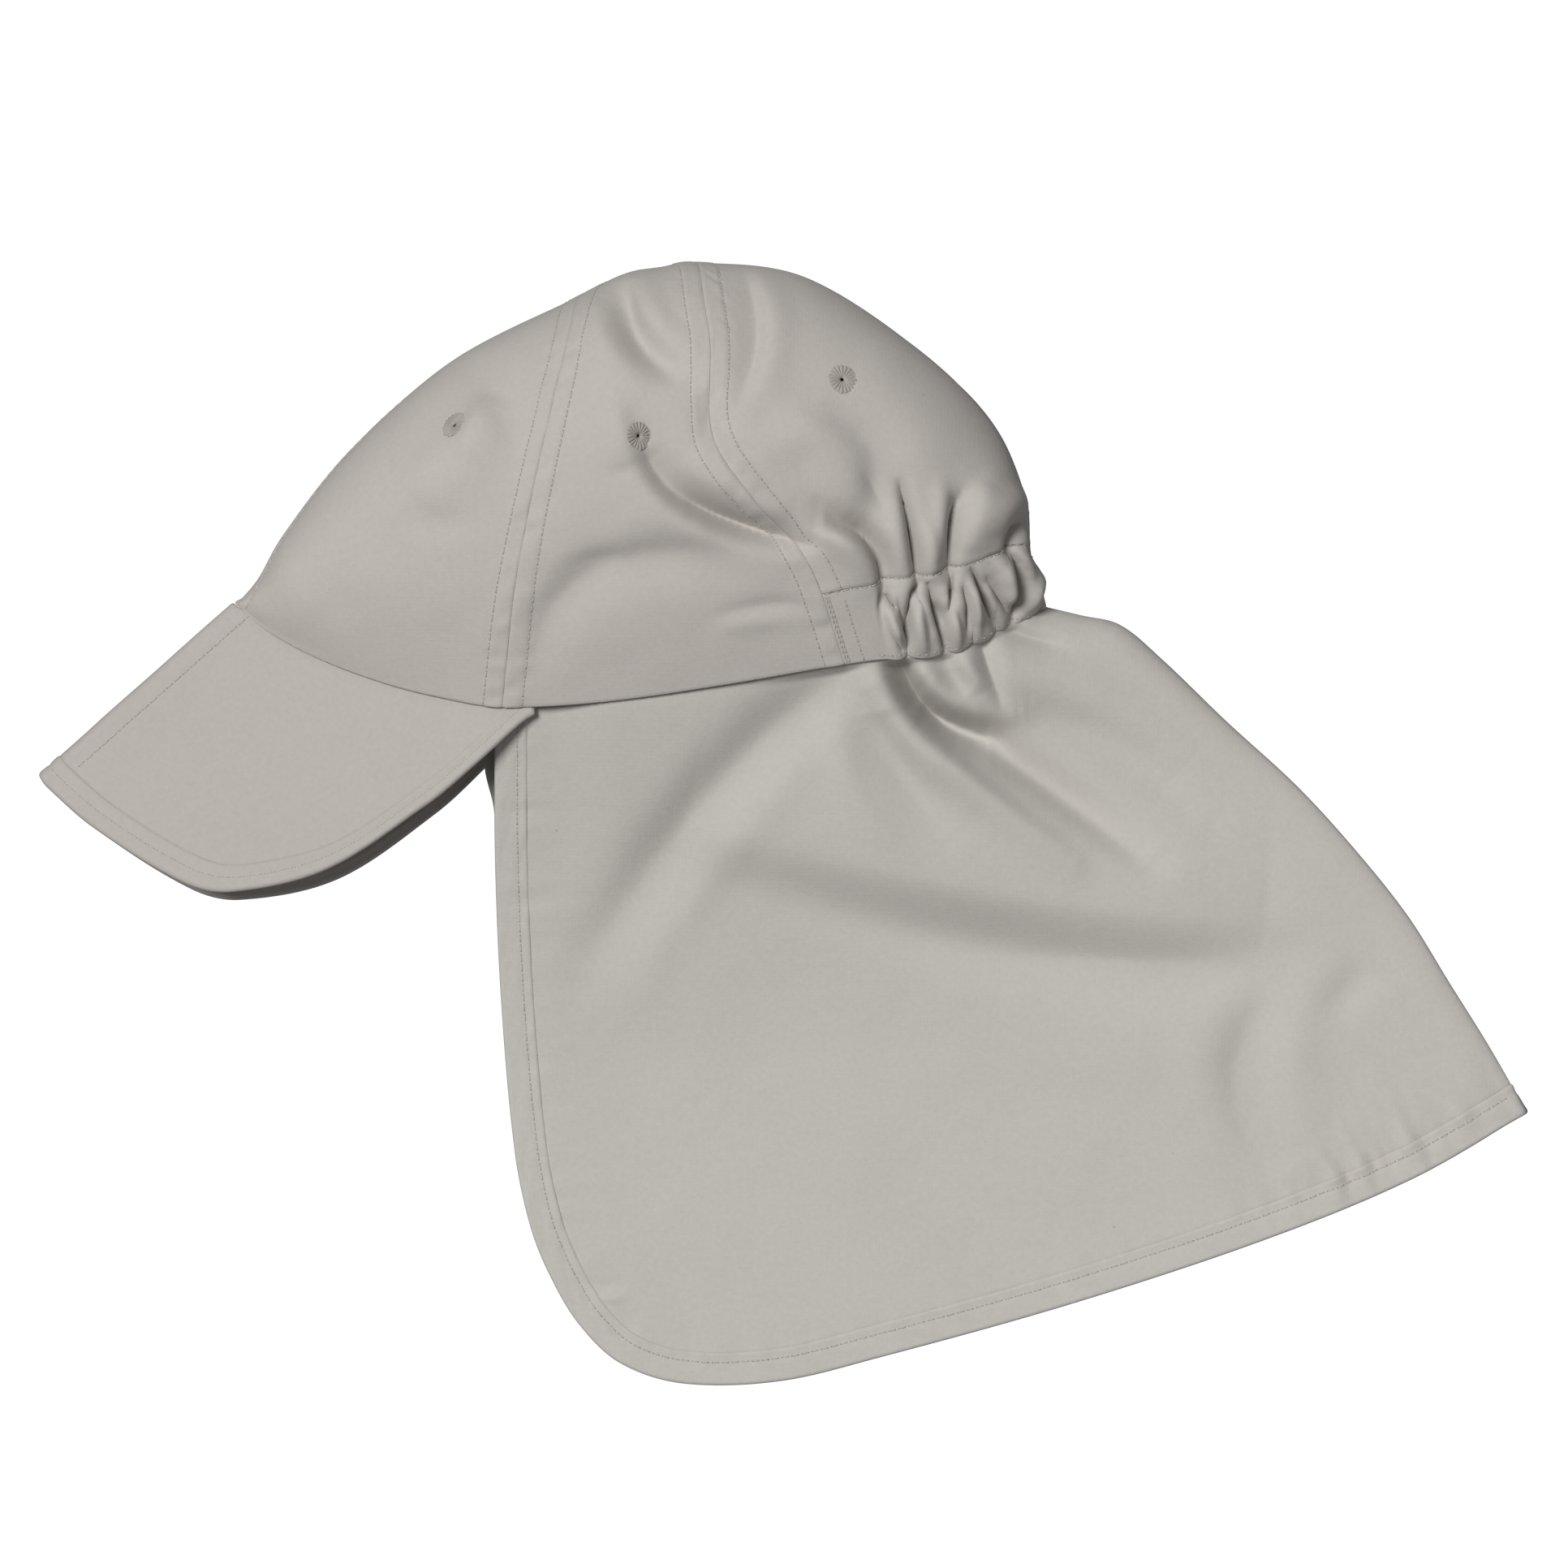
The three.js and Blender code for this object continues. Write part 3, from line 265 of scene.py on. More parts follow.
# Places in x where a pleat of the casing pinches the rim
RIM_NOTCHES = [27.2, 38.2, 49.6, 57.6, 65.0, 79.0]
FLAP_FOLDS = table(
    FOLD_COLUMNS,
    ((34, 54), (-16, 15), (-60, -46), -6.5, 15, 9),
    ((16, 32), (-14, -2), (-50, -54), 2.4, 8, 12),
    ((34.5, 54), (45.4, 34), (64, 26), -16.0, 3.4, 6),
    ((42, 36), (70, 19), (112, -12), -8.0, 8, 5),
    ((29, 54), (40, 28.5), (88, -11), 6.4, 4, 7),
    ((39, 52), (50, 37.5), (72, 33), 3.0, 4, 3.4),
    ((60, 32), (92, 28), (130, 2), -3.6, 8, 9),
    ((66, 44), (90, 42), (124, 18), 2.6, 9, 12),
    ((28, 34), (34, 20), (50, -4), -2.6, 5, 6),
    ((20, 40), (18, 18), (34, -8), 2.0, 6, 6),
    ((47, 55), (50.8, 46.5), (57, 40), -2.6, 4, 4),
    ((59, 62), (61.6, 51), (67, 36), -3.4, 3.2, 2.2),
    ((54, 55), (57, 47), (61, 40), 2.2, 3, 3),
    ((60, 63), (71, 58.4), (86, 54), -3.0, 2.4, 3.2),
    ((-30, 2), (64, -20), (148, -30), 8.0, 30, 12),
    ((-16, -16), (84, -43), (150, -40), -2.4, 8, 8),
    ((40, -50), (110, -64), (160, -50), 1.8, 10, 18),
    ((156, -46), (143, -76), (156, -108), -3.0, 10, 8),
    ((166, -44), (155, -78), (168, -108), 2.0, 10, 12),
    ((136, -56), (130, -80), (140, -104), 1.2, 10, 10),
    ((182, -46), (174, -52), (166, -60), -1.6, 6, 6),
    ((-60, -142), (-56, -143), (-50, -142), -1.1, 1.4, 1.6),
    ((-58, -145), (-54, -147), (-49, -146), 0.7, 1.2, 1.2),
    ((-60, -60), (-40, -80), (-20, -110), -1.2, 20, 24),
    ((96, -100), (110, -118), (120, -136), -1.0, 12, 14),
)

LUMP_COLUMNS = "height cell seed"
CROWN_LUMPS = table(LUMP_COLUMNS, (0.5, 26, 3), (0.22, 11, 4))
FLAP_LUMPS = table(LUMP_COLUMNS, (0.7, 60, 21), (0.3, 24, 22), (0.08, 8, 23))

EYELETS = table(
    "node panel at side",
    ("eyelet_front_left", "crown_front_left", 0.295, 0.355),
    ("eyelet_side_left", "crown_side_left", 0.477, 0.508),
    ("eyelet_back_left", "crown_back_left", 0.713, 0.4),
    ("eyelet_front_right", "crown_front_right", 0.295, -0.61),
    ("eyelet_side_right", "crown_side_right", 0.48, -0.7),
    ("eyelet_back_right", "crown_back_right", 0.713, -0.64),
)


# Small helpers for numbers and arrays

FOLD_SHARES = np.linspace(0, 1, 9)
FOLD_END_SHARE = 0.22
NARROW_DENT = 4
Nearest = namedtuple("Nearest", "off along side")


def ease(t):
    """A smooth step from 0 to 1, level outside them."""
    c = np.clip(t, 0.0, 1.0)
    return c * c * (3 - 2 * c)


def mix(a, b, t):
    """The value a share t of the way from a to b."""
    return a + (b - a) * t


def read_table(rows, key, column, place):
    """Smooth curve through the rows of a table, read at many places of its key."""
    keys = np.array([getattr(row, key) for row in rows])
    values = np.array([getattr(row, column) for row in rows])
    last = len(rows) - 1
    before = np.maximum(np.arange(last + 1) - 1, 0)
    after = np.minimum(np.arange(last + 1) + 1, last)
    slopes = (values[after] - values[before]) / (keys[after] - keys[before])
    place = np.asarray(place, dtype=float)
    i = np.clip(np.searchsorted(keys, place, side="right") - 1, 0, last - 1)
    span = keys[i + 1] - keys[i]
    t = np.clip((place - keys[i]) / span, 0, 1)
    t2 = t * t
    t3 = t2 * t
    return (
        (2 * t3 - 3 * t2 + 1) * values[i]
        + (t3 - 2 * t2 + t) * span * slopes[i]
        + (3 * t2 - 2 * t3) * values[i + 1]
        + (t3 - t2) * span * slopes[i + 1]
    )


def noise(x, y, cell, seed):
    """Smooth seeded noise between -1 and 1 over a plane, one value a cell."""
    rng = np.random.default_rng(seed)
    size = 64
    lattice = rng.uniform(-1, 1, (size, size))
    gx = np.asarray(x) / cell
    gy = np.asarray(y) / cell
    ix = np.floor(gx).astype(int)
    iy = np.floor(gy).astype(int)
    fx = ease(gx - ix)
    fy = ease(gy - iy)
    a = lattice[iy % size, ix % size]
    b = lattice[iy % size, (ix + 1) % size]
    c = lattice[(iy + 1) % size, ix % size]
    d = lattice[(iy + 1) % size, (ix + 1) % size]
    return mix(mix(a, b, fx), mix(c, d, fx), fy)


def lumps(rows, x, y):
    """Broad unevenness of a cloth, as noise of several sizes."""
    return sum(row.height * noise(x, y, row.cell, row.seed) for row in rows)


def round_bend(reach, radius):
    """Share of the full height at a distance from a folded edge."""
    t = 1 - np.clip(reach / radius, 0, 1)
    return np.sqrt(1 - t * t)


def nearest_on(points, ats, x, y):
    """Distance to a line of points, the place along it, and the side: above zero
    on the line's left, below zero on its right, and 1 or -1 square to it."""
    off = np.full(x.shape, np.inf)
    along = np.zeros_like(x)
    side = np.zeros_like(x)
    for k in range(len(points) - 1):
        ax, ay = points[k]
        bx, by = points[k + 1]
        span = (bx - ax) ** 2 + (by - ay) ** 2
        t = np.clip(((x - ax) * (bx - ax) + (y - ay) * (by - ay)) / span, 0, 1)
        here = np.hypot(x - mix(ax, bx, t), y - mix(ay, by, t))
        nearer = here < off
        turn = (bx - ax) * (y - ay) - (by - ay) * (x - ax)
        lean = turn / (math.sqrt(span) * np.maximum(here, 1e-6))
        off = np.where(nearer, here, off)
        along = np.where(nearer, mix(ats[k], ats[k + 1], t), along)
        side = np.where(nearer, lean, side)
    return Nearest(off, along, side)


def fold_path(fold):
    """A smooth curve through the start, the middle and the end of a fold."""
    start = np.array(fold.start, dtype=float)
    middle = np.array(fold.middle, dtype=float)
    end = np.array(fold.end, dtype=float)
    control = 2 * middle - (start + end) / 2
    ts = FOLD_SHARES[:, None]
    return (1 - ts) ** 2 * start + 2 * ts * (1 - ts) * control + ts**2 * end


def fold_rise(folds, x, y):
    """Height that folds add at places given in the cap's own frame."""
    x = x + ORIGIN_X
    y = y + ORIGIN_Y
    total = np.zeros_like(x)
    for fold in folds:
        near = nearest_on(fold_path(fold), FOLD_SHARES, x, y)
        width = mix(fold.right, fold.left, ease(0.5 + 0.5 * np.clip(near.side, -1, 1)))
        swell = FOLD_END_SHARE + (1 - FOLD_END_SHARE) * np.sin(np.pi * near.along) ** 0.8
        narrow = min(fold.left, fold.right) < NARROW_DENT
        sharpness = 1.6 if fold.rise < 0 and narrow else 2.0
        total += fold.rise * swell * np.exp(-((near.off / width) ** sharpness))
    return total


# Crown surface

def crown_base(at, side):
    """Middle of the crown's cloth: at runs from front to back, side from the
    lower rim at -1 over the bend at 0 to the upper rim at 1."""
    at, side = np.broadcast_arrays(np.asarray(at, dtype=float), np.asarray(side, dtype=float))
    read = lambda column: read_table(CROWN_SECTIONS, "at", column, at)
    out_x = read("out_x") * CROWN_LENGTH
    out_y = read("out_y") * CROWN_HEIGHT
    rim_x = read("rim_x") * CROWN_LENGTH
    rim_y = read("rim_y") * CROWN_HEIGHT
    bend = np.maximum(read("bend") * BEND_HEIGHT, 2 * CROWN_CLOTH)
    rim = read("lift") * RIM_LIFT
    crest = np.maximum(read("crest") * CROWN_PUFF, bend + 0.5)
    quarter = CREST_PLACE * math.pi / 2
    upper_share = quarter / (quarter + 1 - CREST_PLACE)
    fall = math.pi / 2 * 0.8

    t = np.clip((side - upper_share) / (1 - upper_share), 0, 1)
    share_top = mix(CREST_PLACE, 1, t)
    z_top = crest - (crest - rim) * (1 - np.cos(t * fall)) / (1 - math.cos(fall))
    angle = np.clip(side / upper_share, 0, 1) * math.pi / 2
    share_bend = CREST_PLACE * (1 - np.cos(angle))
    z_bend = bend + (crest - bend) * np.sin(angle)
    reach = np.hypot(rim_x - out_x, rim_y - out_y)
    inset = np.minimum(BEND_DEPTH / np.maximum(reach, 1e-6), 0.5)
    lower = np.clip(-side / LOWER_BEND_SHARE, 0, 1) * math.pi / 2
    past = np.clip((-side - LOWER_BEND_SHARE) / (1 - LOWER_BEND_SHARE), 0, 1)
    share_low = np.where(past > 0, mix(inset, 1, past), inset * (1 - np.cos(lower)))
    z_low = bend - (bend - CROWN_CLOTH / 2) * np.sin(lower)

    share = np.where(side >= upper_share, share_top, np.where(side >= 0, share_bend, share_low))
    start = np.minimum(OUTLINE_INSET / np.maximum(reach, 1e-6), 0.2)
    share = mix(start, 1, share)
    z = np.where(side >= upper_share, z_top, np.where(side >= 0, z_bend, z_low))
    return np.stack([mix(out_x, rim_x, share), mix(out_y, rim_y, share), z], axis=-1)


def normal_of(surface, at, side):
    """Normals of a surface of the crown, out of it."""
    step = 0.003
    along = surface(np.clip(at + step, 0, 1), side) - surface(np.clip(at - step, 0, 1), side)
    across = surface(at, np.clip(side + step, -1, 1)) - surface(at, np.clip(side - step, -1, 1))
    normal = np.cross(across, along)
    length = np.linalg.norm(normal, axis=-1, keepdims=True)
    return normal / np.maximum(length, 1e-9)


def crown_point(at, side):
    """Middle of the crown's cloth with its folds, dents and gathers."""
    at, side = np.broadcast_arrays(np.asarray(at, dtype=float), np.asarray(side, dtype=float))
    point = crown_base(at, side)
    fade = ease(side / 0.2) * ease((1 - side) / 0.1 + 0.15)
    rise = fold_rise(CROWN_FOLDS, point[..., 0], point[..., 1])
    rise = (rise + lumps(CROWN_LUMPS, point[..., 0], point[..., 1])) * fade
    return point + normal_of(crown_base, at, side) * rise[..., None]


# Seams and panels of the crown

TIP_SHARE = APEX_HOLE / CROWN_LENGTH * 4
CASING_SHARE = 2 / 14
APEX_REACH = 0.25


def casing_side(at):
    return read_table(CASING_TOP, "at", "side", at)


def seam_edge(seam, facing, start):
    """A panel's edge along a seam, from the rim to the apex."""
    def edge(v):
        level = mix(start, 1, v)
        top = facing * casing_side(CASING_TOP[0].at)
        tip = APEX_SIDE + facing * TIP_SHARE
        below = mix(facing, top, level / CASING_SHARE)
        above = mix(top, tip, (level - CASING_SHARE) / (1 - CASING_SHARE))
        side = np.where(level < CASING_SHARE, below, above)
        near = np.minimum(np.abs(side - APEX_SIDE) / APEX_REACH, 1)
        apart = np.where(near < 1, APEX_SIDE + APEX_REACH * facing, side)
        join = read_table(seam, "side", "at", apart)
        return np.stack([mix(APEX_AT, join, near), side], axis=-1)
    return edge


def centre_front(v):
    """The centre seam, from the front of the rim to the apex."""
    at = APEX_AT * v * (1 - TIP_SHARE / 2)
    return np.stack([at, mix(FRONT_FOLD_SIDE, APEX_SIDE, v * v)], axis=-1)


def centre_back(v):
    """The centre seam, from the casing to the apex."""
    at = mix(CASING_TOP[-1].at, APEX_AT + TIP_SHARE / 2, v)
    return np.stack([at, mix(BACK_FOLD_SIDE, APEX_SIDE, np.sqrt(v))], axis=-1)


def casing_line(facing, u):
    """Upper edge of the casing, from its seam to the back fold."""
    start = seam_edge(SIDE_BACK_SEAM, facing, CASING_SHARE)(np.zeros(1))[0, 0]
    at = mix(start, CASING_TOP[-1].at, 1 - (1 - u) ** 1.4)
    return np.stack([at, facing * casing_side(at) + BACK_FOLD_SIDE * u], axis=-1)


def line_between(a, b):
    return lambda u: np.stack([mix(a[0], b[0], u), mix(a[1], b[1], u)], axis=-1)


def front_panel(facing):
    right = seam_edge(FRONT_SIDE_SEAM, facing, 0)
    end = right(np.ones(1))[0]
    corner = right(np.zeros(1))[0]
    last = centre_front(np.ones(1))[0]
    return {
        "bottom": lambda u: np.stack([corner[0] * u, np.full_like(u, facing)], axis=-1),
        "top": lambda u: centre_front(u) + (end - last) * (u**12)[..., None],
        "left": line_between((0, facing), (0, FRONT_FOLD_SIDE)),
        "right": right,
    }


def side_panel(facing):
    left = seam_edge(FRONT_SIDE_SEAM, facing, 0)
    right = seam_edge(SIDE_BACK_SEAM, facing, 0)
    a = left(np.zeros(1))[0]
    b = right(np.zeros(1))[0]
    return {
        "bottom": lambda u: np.stack([mix(a[0], b[0], u), np.full_like(u, facing)], axis=-1),
        "top": line_between(left(np.ones(1))[0], right(np.ones(1))[0]),
        "left": left,
        "right": right,
    }


def back_panel(facing):
    left = seam_edge(SIDE_BACK_SEAM, facing, CASING_SHARE)
    return {
        "bottom": lambda u: casing_line(facing, u),
        "top": line_between(left(np.ones(1))[0], centre_back(np.ones(1))[0]),
        "left": left,
        "right": centre_back,
    }


def patch_grid(edges, columns, rows):
    """Places of a grid between four edges, as at and side."""
    u = np.linspace(0, 1, columns + 1)
    v = np.linspace(0, 1, rows + 1)
    bottom = edges["bottom"](u)[None, :, :]
    top = edges["top"](u)[None, :, :]
    left = edges["left"](v)[:, None, :]
    right = edges["right"](v)[:, None, :]
    uu = u[None, :, None]
    vv = v[:, None, None]
    corners = mix(mix(bottom[:, :1], bottom[:, -1:], uu), mix(top[:, :1], top[:, -1:], uu), vv)
    grid = mix(bottom, top, vv) + mix(left, right, uu) - corners
    return grid[..., 0], grid[..., 1]


# Meshes

def mesh_object(name, vertices, faces, smooth=True):
    """A new object from vertices in millimetres of the cap's own frame."""
    placed = (np.asarray(vertices) + np.array([ORIGIN_X, ORIGIN_Y, 0.0])) / 1000
    mesh = bpy.data.meshes.new(name)
    mesh.from_pydata(placed.tolist(), [], faces)
    mesh.update()
    if smooth:
        mesh.polygons.foreach_set("use_smooth", [True] * len(mesh.polygons))
    piece = bpy.data.objects.new(name, mesh)
    bpy.context.scene.collection.objects.link(piece)
    return piece


def wall(name, points, normals, thickness, edge_round=None, rim_steps=3):
    """A closed cloth wall with rounded edges round a grid of middle points."""
    rows, columns = points.shape[:2]
    radius = thickness / 2
    edge_round = radius if edge_round is None else edge_round
    inner_points = points.copy()
    outward = np.zeros_like(points)

    def pull(cell, neighbour):
        step = points[neighbour] - points[cell]
        length = np.linalg.norm(step, axis=-1, keepdims=True)
        unit = step / np.maximum(length, 1e-9)
        inner_points[cell] += unit * np.minimum(edge_round, 0.45 * length)
        outward[cell] -= unit

    everything = slice(None)
    pull((everything, 0), (everything, 1))
    pull((everything, -1), (everything, -2))
    pull((0, everything), (1, everything))
    pull((-1, everything), (-2, everything))
    outer = inner_points + normals * radius
    inner = inner_points - normals * radius
    vertices = [outer.reshape(-1, 3), inner.reshape(-1, 3)]
    index = np.arange(rows * columns).reshape(rows, columns)
    a, b = index[:-1, :-1], index[:-1, 1:]
    c, d = index[1:, 1:], index[1:, :-1]
    top = np.stack([a, b, c, d], axis=-1).reshape(-1, 4)
    bottom = np.stack([a, d, c, b], axis=-1).reshape(-1, 4) + rows * columns
    loop = np.concatenate([index[0, :-1], index[:-1, -1], index[-1, :0:-1], index[:0:-1, 0]])
    flat_mid = inner_points.reshape(-1, 3)[loop]
    flat_normal = normals.reshape(-1, 3)[loop]
    flat_out = outward.reshape(-1, 3)[loop]
    flat_out -= flat_normal * np.sum(flat_out * flat_normal, axis=-1, keepdims=True)
    flat_out /= np.maximum(np.linalg.norm(flat_out, axis=-1, keepdims=True), 1e-9)
    rings = [loop]
    base = 2 * rows * columns
    for k in range(1, rim_steps + 1):
        angle = math.pi * k / (rim_steps + 1)
        bulge = flat_out * edge_round * math.sin(angle)
        vertices.append(flat_mid + flat_normal * radius * math.cos(angle) + bulge)
        rings.append(base + np.arange(len(loop)))
        base += len(loop)
    rings.append(loop + rows * columns)
    rim = []
    for first, second in zip(rings[:-1], rings[1:]):
        rim.append(np.stack([first, second, np.roll(second, -1), np.roll(first, -1)], axis=-1))
    faces = np.concatenate([top, bottom] + rim)
    signed = np.concatenate(vertices)
    quads = signed[faces]
    volume = np.sum(np.cross(quads[:, 0], quads[:, 1]) * quads[:, 2])
    volume += np.sum(np.cross(quads[:, 0], quads[:, 2]) * quads[:, 3])
    if volume < 0:
        faces = faces[:, ::-1]
    return mesh_object(name, signed, faces.tolist())


def running(points, axis):
    """Length along each line of a grid from its first point."""
    steps = np.linalg.norm(np.diff(points, axis=axis), axis=-1)
    total = np.cumsum(steps, axis=axis)
    shape = list(total.shape)
    shape[axis] = 1
    return np.concatenate([np.zeros(shape), total], axis=axis)


pieces = {}


def finish_piece(piece, material, node=None):
    """Gives a piece its material, and its place in the model."""
    piece.data.materials.append(material)
    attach(piece, "root")
    if node:
        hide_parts(node)
    pieces[node or piece.name] = piece
    return piece


# Gathered casing round the back of the rim

POLE_SHARE = 0.93
CASING_TOP_SHARE = 0.99
CASING_COLUMNS = 281
CASING_ROWS = 37
GATHER_START = 0.14
GATHER_RAMP = 0.1
GATHER_DEPTH = 1.3
PLUMP_FRONT = 1.6
PLUMP_BACK = 0.2
SCALLOP = 1.5
MEAN_LOBE = 0.45
FIRST_LOBE_LENGTH = 20
PANEL_COLUMNS = 12


def rim_lobe(x):
    """How far the scalloped rim stands out, from 0 at a notch to 1 between two."""
    x = x + ORIGIN_X
    lobe = np.clip((x - RIM_NOTCHES[0]) / FIRST_LOBE_LENGTH, 0, 1)
    for first, last in zip(RIM_NOTCHES[:-1], RIM_NOTCHES[1:]):
        t = np.clip((x - first) / (last - first), 0, 1)
        lobe = np.where((t > 0) & (t < 1), np.sqrt(np.sin(np.pi * t)), lobe)
    return np.where(x > RIM_NOTCHES[-1], MEAN_LOBE, lobe)


def casing_half(facing, inward, up):
    """Middle of the casing: inward runs from the seam to the back fold and up from
    the rim to the panel above. The near half is plump and gathered."""
    top = casing_line(facing, inward)
    seam_start = seam_edge(SIDE_BACK_SEAM, facing, 0)
    seam = seam_start(up * CASING_SHARE)
    start_at = seam_start(np.zeros(1))[0, 0]
    rim_at = mix(start_at, 1, np.minimum(inward / POLE_SHARE, 1))
    rim_side = facing * np.minimum((1 - inward) / (1 - POLE_SHARE), 1)
    near_seam = np.maximum(1 - inward * PANEL_COLUMNS, 0)
    at = mix(mix(rim_at, top[..., 0], up), seam[..., 0], near_seam)
    side = mix(mix(rim_side, top[..., 1], up), seam[..., 1], near_seam)
    gathered = ease((inward - GATHER_START) / GATHER_RAMP)
    across = np.sin(np.pi * np.clip(up, 0, 1))
    point = crown_point(at, side)
    normal = normal_of(crown_point, at, side)
    if facing > 0:
        plump = mix(PLUMP_FRONT, PLUMP_BACK, ease((inward - 0.8) / 0.15))
        push = plump * across**0.7
        pleats = fold_rise(CASING_FOLDS, point[..., 0], point[..., 1])
        push += GATHER_DEPTH * pleats * (0.6 + 0.4 * across)
        push += 0.4 * noise(point[..., 0], point[..., 1], 3.2, 9) * across
        lobe = rim_lobe(point[..., 0])
        reach = SCALLOP * (lobe - MEAN_LOBE) * (1 - up) ** 2 * gathered
        point[..., 0] += reach * 0.35
        point[..., 1] -= reach
    else:
        push = -0.9 * across**2 * (1 + 0.6 * np.sin(26 * inward))
    point = point + normal * (gathered * push)[..., None]
    point[..., 2] = np.maximum(point[..., 2], CASING_CLOTH / 2)
    return point


# Peak, folded at its centre line

PEAK_ANGLE = math.radians(180 + PEAK_DROOP)
FOLD_LINE = np.array([math.cos(PEAK_ANGLE), math.sin(PEAK_ANGLE)])
PEAK_REST = 1.25
PEAK_FOLD_HEIGHT = PEAK_REST + PEAK_FOLD_RADIUS
PEAK_STACK = 2.9
PEAK_END_OUT = 1.5
FOLD_HOLD = 0.12
SEAT_RAMP = 14.0
PEAK_SEAT_RISE = 2.0


def off_fold(x, y):
    """Distance from the peak's fold line."""
    return np.abs(x * FOLD_LINE[1] - y * FOLD_LINE[0])


def rim_tucked(at, side, tuck):
    """Points of the rim moved under the crown by the tuck."""
    at = np.asarray(at, dtype=float)
    point = crown_point(at, side)
    ahead = crown_point(np.minimum(at + 0.01, 1), side)
    behind = crown_point(np.maximum(at - 0.01, 0), side)
    run = (ahead - behind)[..., :2]
    run = run / np.maximum(np.linalg.norm(run, axis=-1, keepdims=True), 1e-9)
    point[..., 0] -= run[..., 1] * tuck
    point[..., 1] += run[..., 0] * tuck
    return point


def peak_lines(facing, share):
    """Root and outer edge of the peak for shares from its fold to its end."""
    hold = ease(share / FOLD_HOLD)
    tuck = mix(-FOLD_CLEAR, TUCK_UNDER_RIM, hold)
    root = rim_tucked(share * PEAK_END_AT, facing, tuck)
    for k in range(2):
        root[..., k] = mix(FOLD_LINE[k] * FOLD_CLEAR, root[..., k], hold)
    tip = FOLD_LINE * PEAK_REACH
    end = rim_tucked(np.array(PEAK_END_AT), 1.0, -PEAK_END_OUT)[:2]
    chord = end - tip
    away = np.array([chord[1], -chord[0]]) / np.linalg.norm(chord)
    out = read_table(PEAK_EDGE, "along", "out", share) * PEAK_BULGE
    run = read_table(PEAK_EDGE, "along", "chord", share)
    edge = tip + chord * run[..., None] + away * out[..., None]
    if facing > 0:
        turn = edge[..., 0] * FOLD_LINE[1] - edge[..., 1] * FOLD_LINE[0]
        pull = turn * PEAK_SQUEEZE * np.sqrt(np.sin(np.pi * share))
        edge[..., 0] -= FOLD_LINE[1] * pull
        edge[..., 1] += FOLD_LINE[0] * pull
    length = np.hypot(edge[..., 0] - root[..., 0], edge[..., 1] - root[..., 1])
    return root, edge, length, tuck


def peak_half(facing, share, v):
    """Middle of one half of the peak: share runs from its fold to its end, and v
    from its root under the crown to its outer edge."""
    root, edge, length, tuck = peak_lines(facing, share)
    x = mix(root[..., 0], edge[..., 0], v)
    y = mix(root[..., 1], edge[..., 1], v)
    off = off_fold(x, y)
    bent = round_bend(off, PEAK_FOLD_RADIUS)
    if facing > 0:
        root_z = np.maximum(root[..., 2] - PEAK_STACK, PEAK_FOLD_HEIGHT + PEAK_FOLD_RADIUS)
        z = root_z + PEAK_SLOPE * (off - off_fold(root[..., 0], root[..., 1]))
    else:
        past = v * length - tuck - PEAK_END_OUT
        z = PEAK_REST + PEAK_SEAT_RISE * (1 - ease(past / SEAT_RAMP))
    return np.stack([x, y, mix(PEAK_FOLD_HEIGHT, z, bent)], axis=-1)


def binding_start(facing, share):
    """Share of the peak's reach at which its binding starts."""
    length = peak_lines(facing, share)[2]
    return np.maximum(1 - BINDING_WIDTH / length, 0)


# Neck flap: the upper layer hangs from the rim and comes to rest on the lower

flap_front = crown_point(np.array(FLAP_FRONT_AT), 1.0)
flap_back_top = rim_tucked(np.array(1.0), 1.0, -BACK_TOP_CLEAR)
flap_corner = np.array([
    flap_front[0] + FLAP_LENGTH,
    flap_front[1] + FLAP_EDGE[-1].y * FLAP_DROP,
])
back_run = flap_corner - flap_back_top[:2]
back_away = np.array([-back_run[1], back_run[0]]) / np.linalg.norm(back_run)
HEM_ON_FOLD = 1 - HEM_WIDTH / float(np.linalg.norm(back_run))
HEM_HALF_LENGTH = 610
FLAP_FOLD_HEIGHT = 2.2
FLAP_STACK = 2.05
UNDER_PEAK_STACK = FLAP_STACK + 3.6
LOWER_SEAT_RISE = 2.1
LOWER_PEAK_RISE = 5.5
FALL_CURVE = 1.7
RIM_BLUR = 5.0


def edge_point(along):
    """Outer edge of the flap, from its front end to its back corner."""
    t = np.clip(along, 0, 1)
    tuck = TUCK_UNDER_RIM * np.maximum(1 - t / 0.05, 0)
    x = flap_front[0] + read_table(FLAP_EDGE, "along", "x", t) * FLAP_LENGTH
    y = flap_front[1] + read_table(FLAP_EDGE, "along", "y", t) * FLAP_DROP + tuck
    return np.stack([x, y], axis=-1)


def back_fold_point(along):
    """The flap's fold at the back, from the rim to its corner."""
    along = np.asarray(along, dtype=float)
    bow = read_table(BACK_FOLD_BOW, "along", "bow", along) * BACK_FOLD_BULGE
    return flap_back_top[:2] + back_run * along[..., None] + back_away * bow[..., None]


def seam_point(along):
    """Inner line of the hem, a hem's width inside the edge."""
    along = np.asarray(along, dtype=float)
    run = edge_point(along + 0.01) - edge_point(along - 0.01)
    run = run / np.linalg.norm(run, axis=-1, keepdims=True)
    inside = edge_point(along) + np.stack([-run[..., 1], run[..., 0]], axis=-1) * HEM_WIDTH
    share = ease((along - 0.96) / 0.04)[..., None]
    return mix(inside, back_fold_point(HEM_ON_FOLD), share)


rim_ats = np.linspace(FLAP_FRONT_AT - 0.05, 1, 73)
rim_line = crown_point(rim_ats, 1.0)[:, :2]
hem_shares = np.linspace(0, 0.985, 160)
hem_line = seam_point(hem_shares)
fold_shares = np.linspace(0, 1, 45)
back_fold_line = back_fold_point(fold_shares)


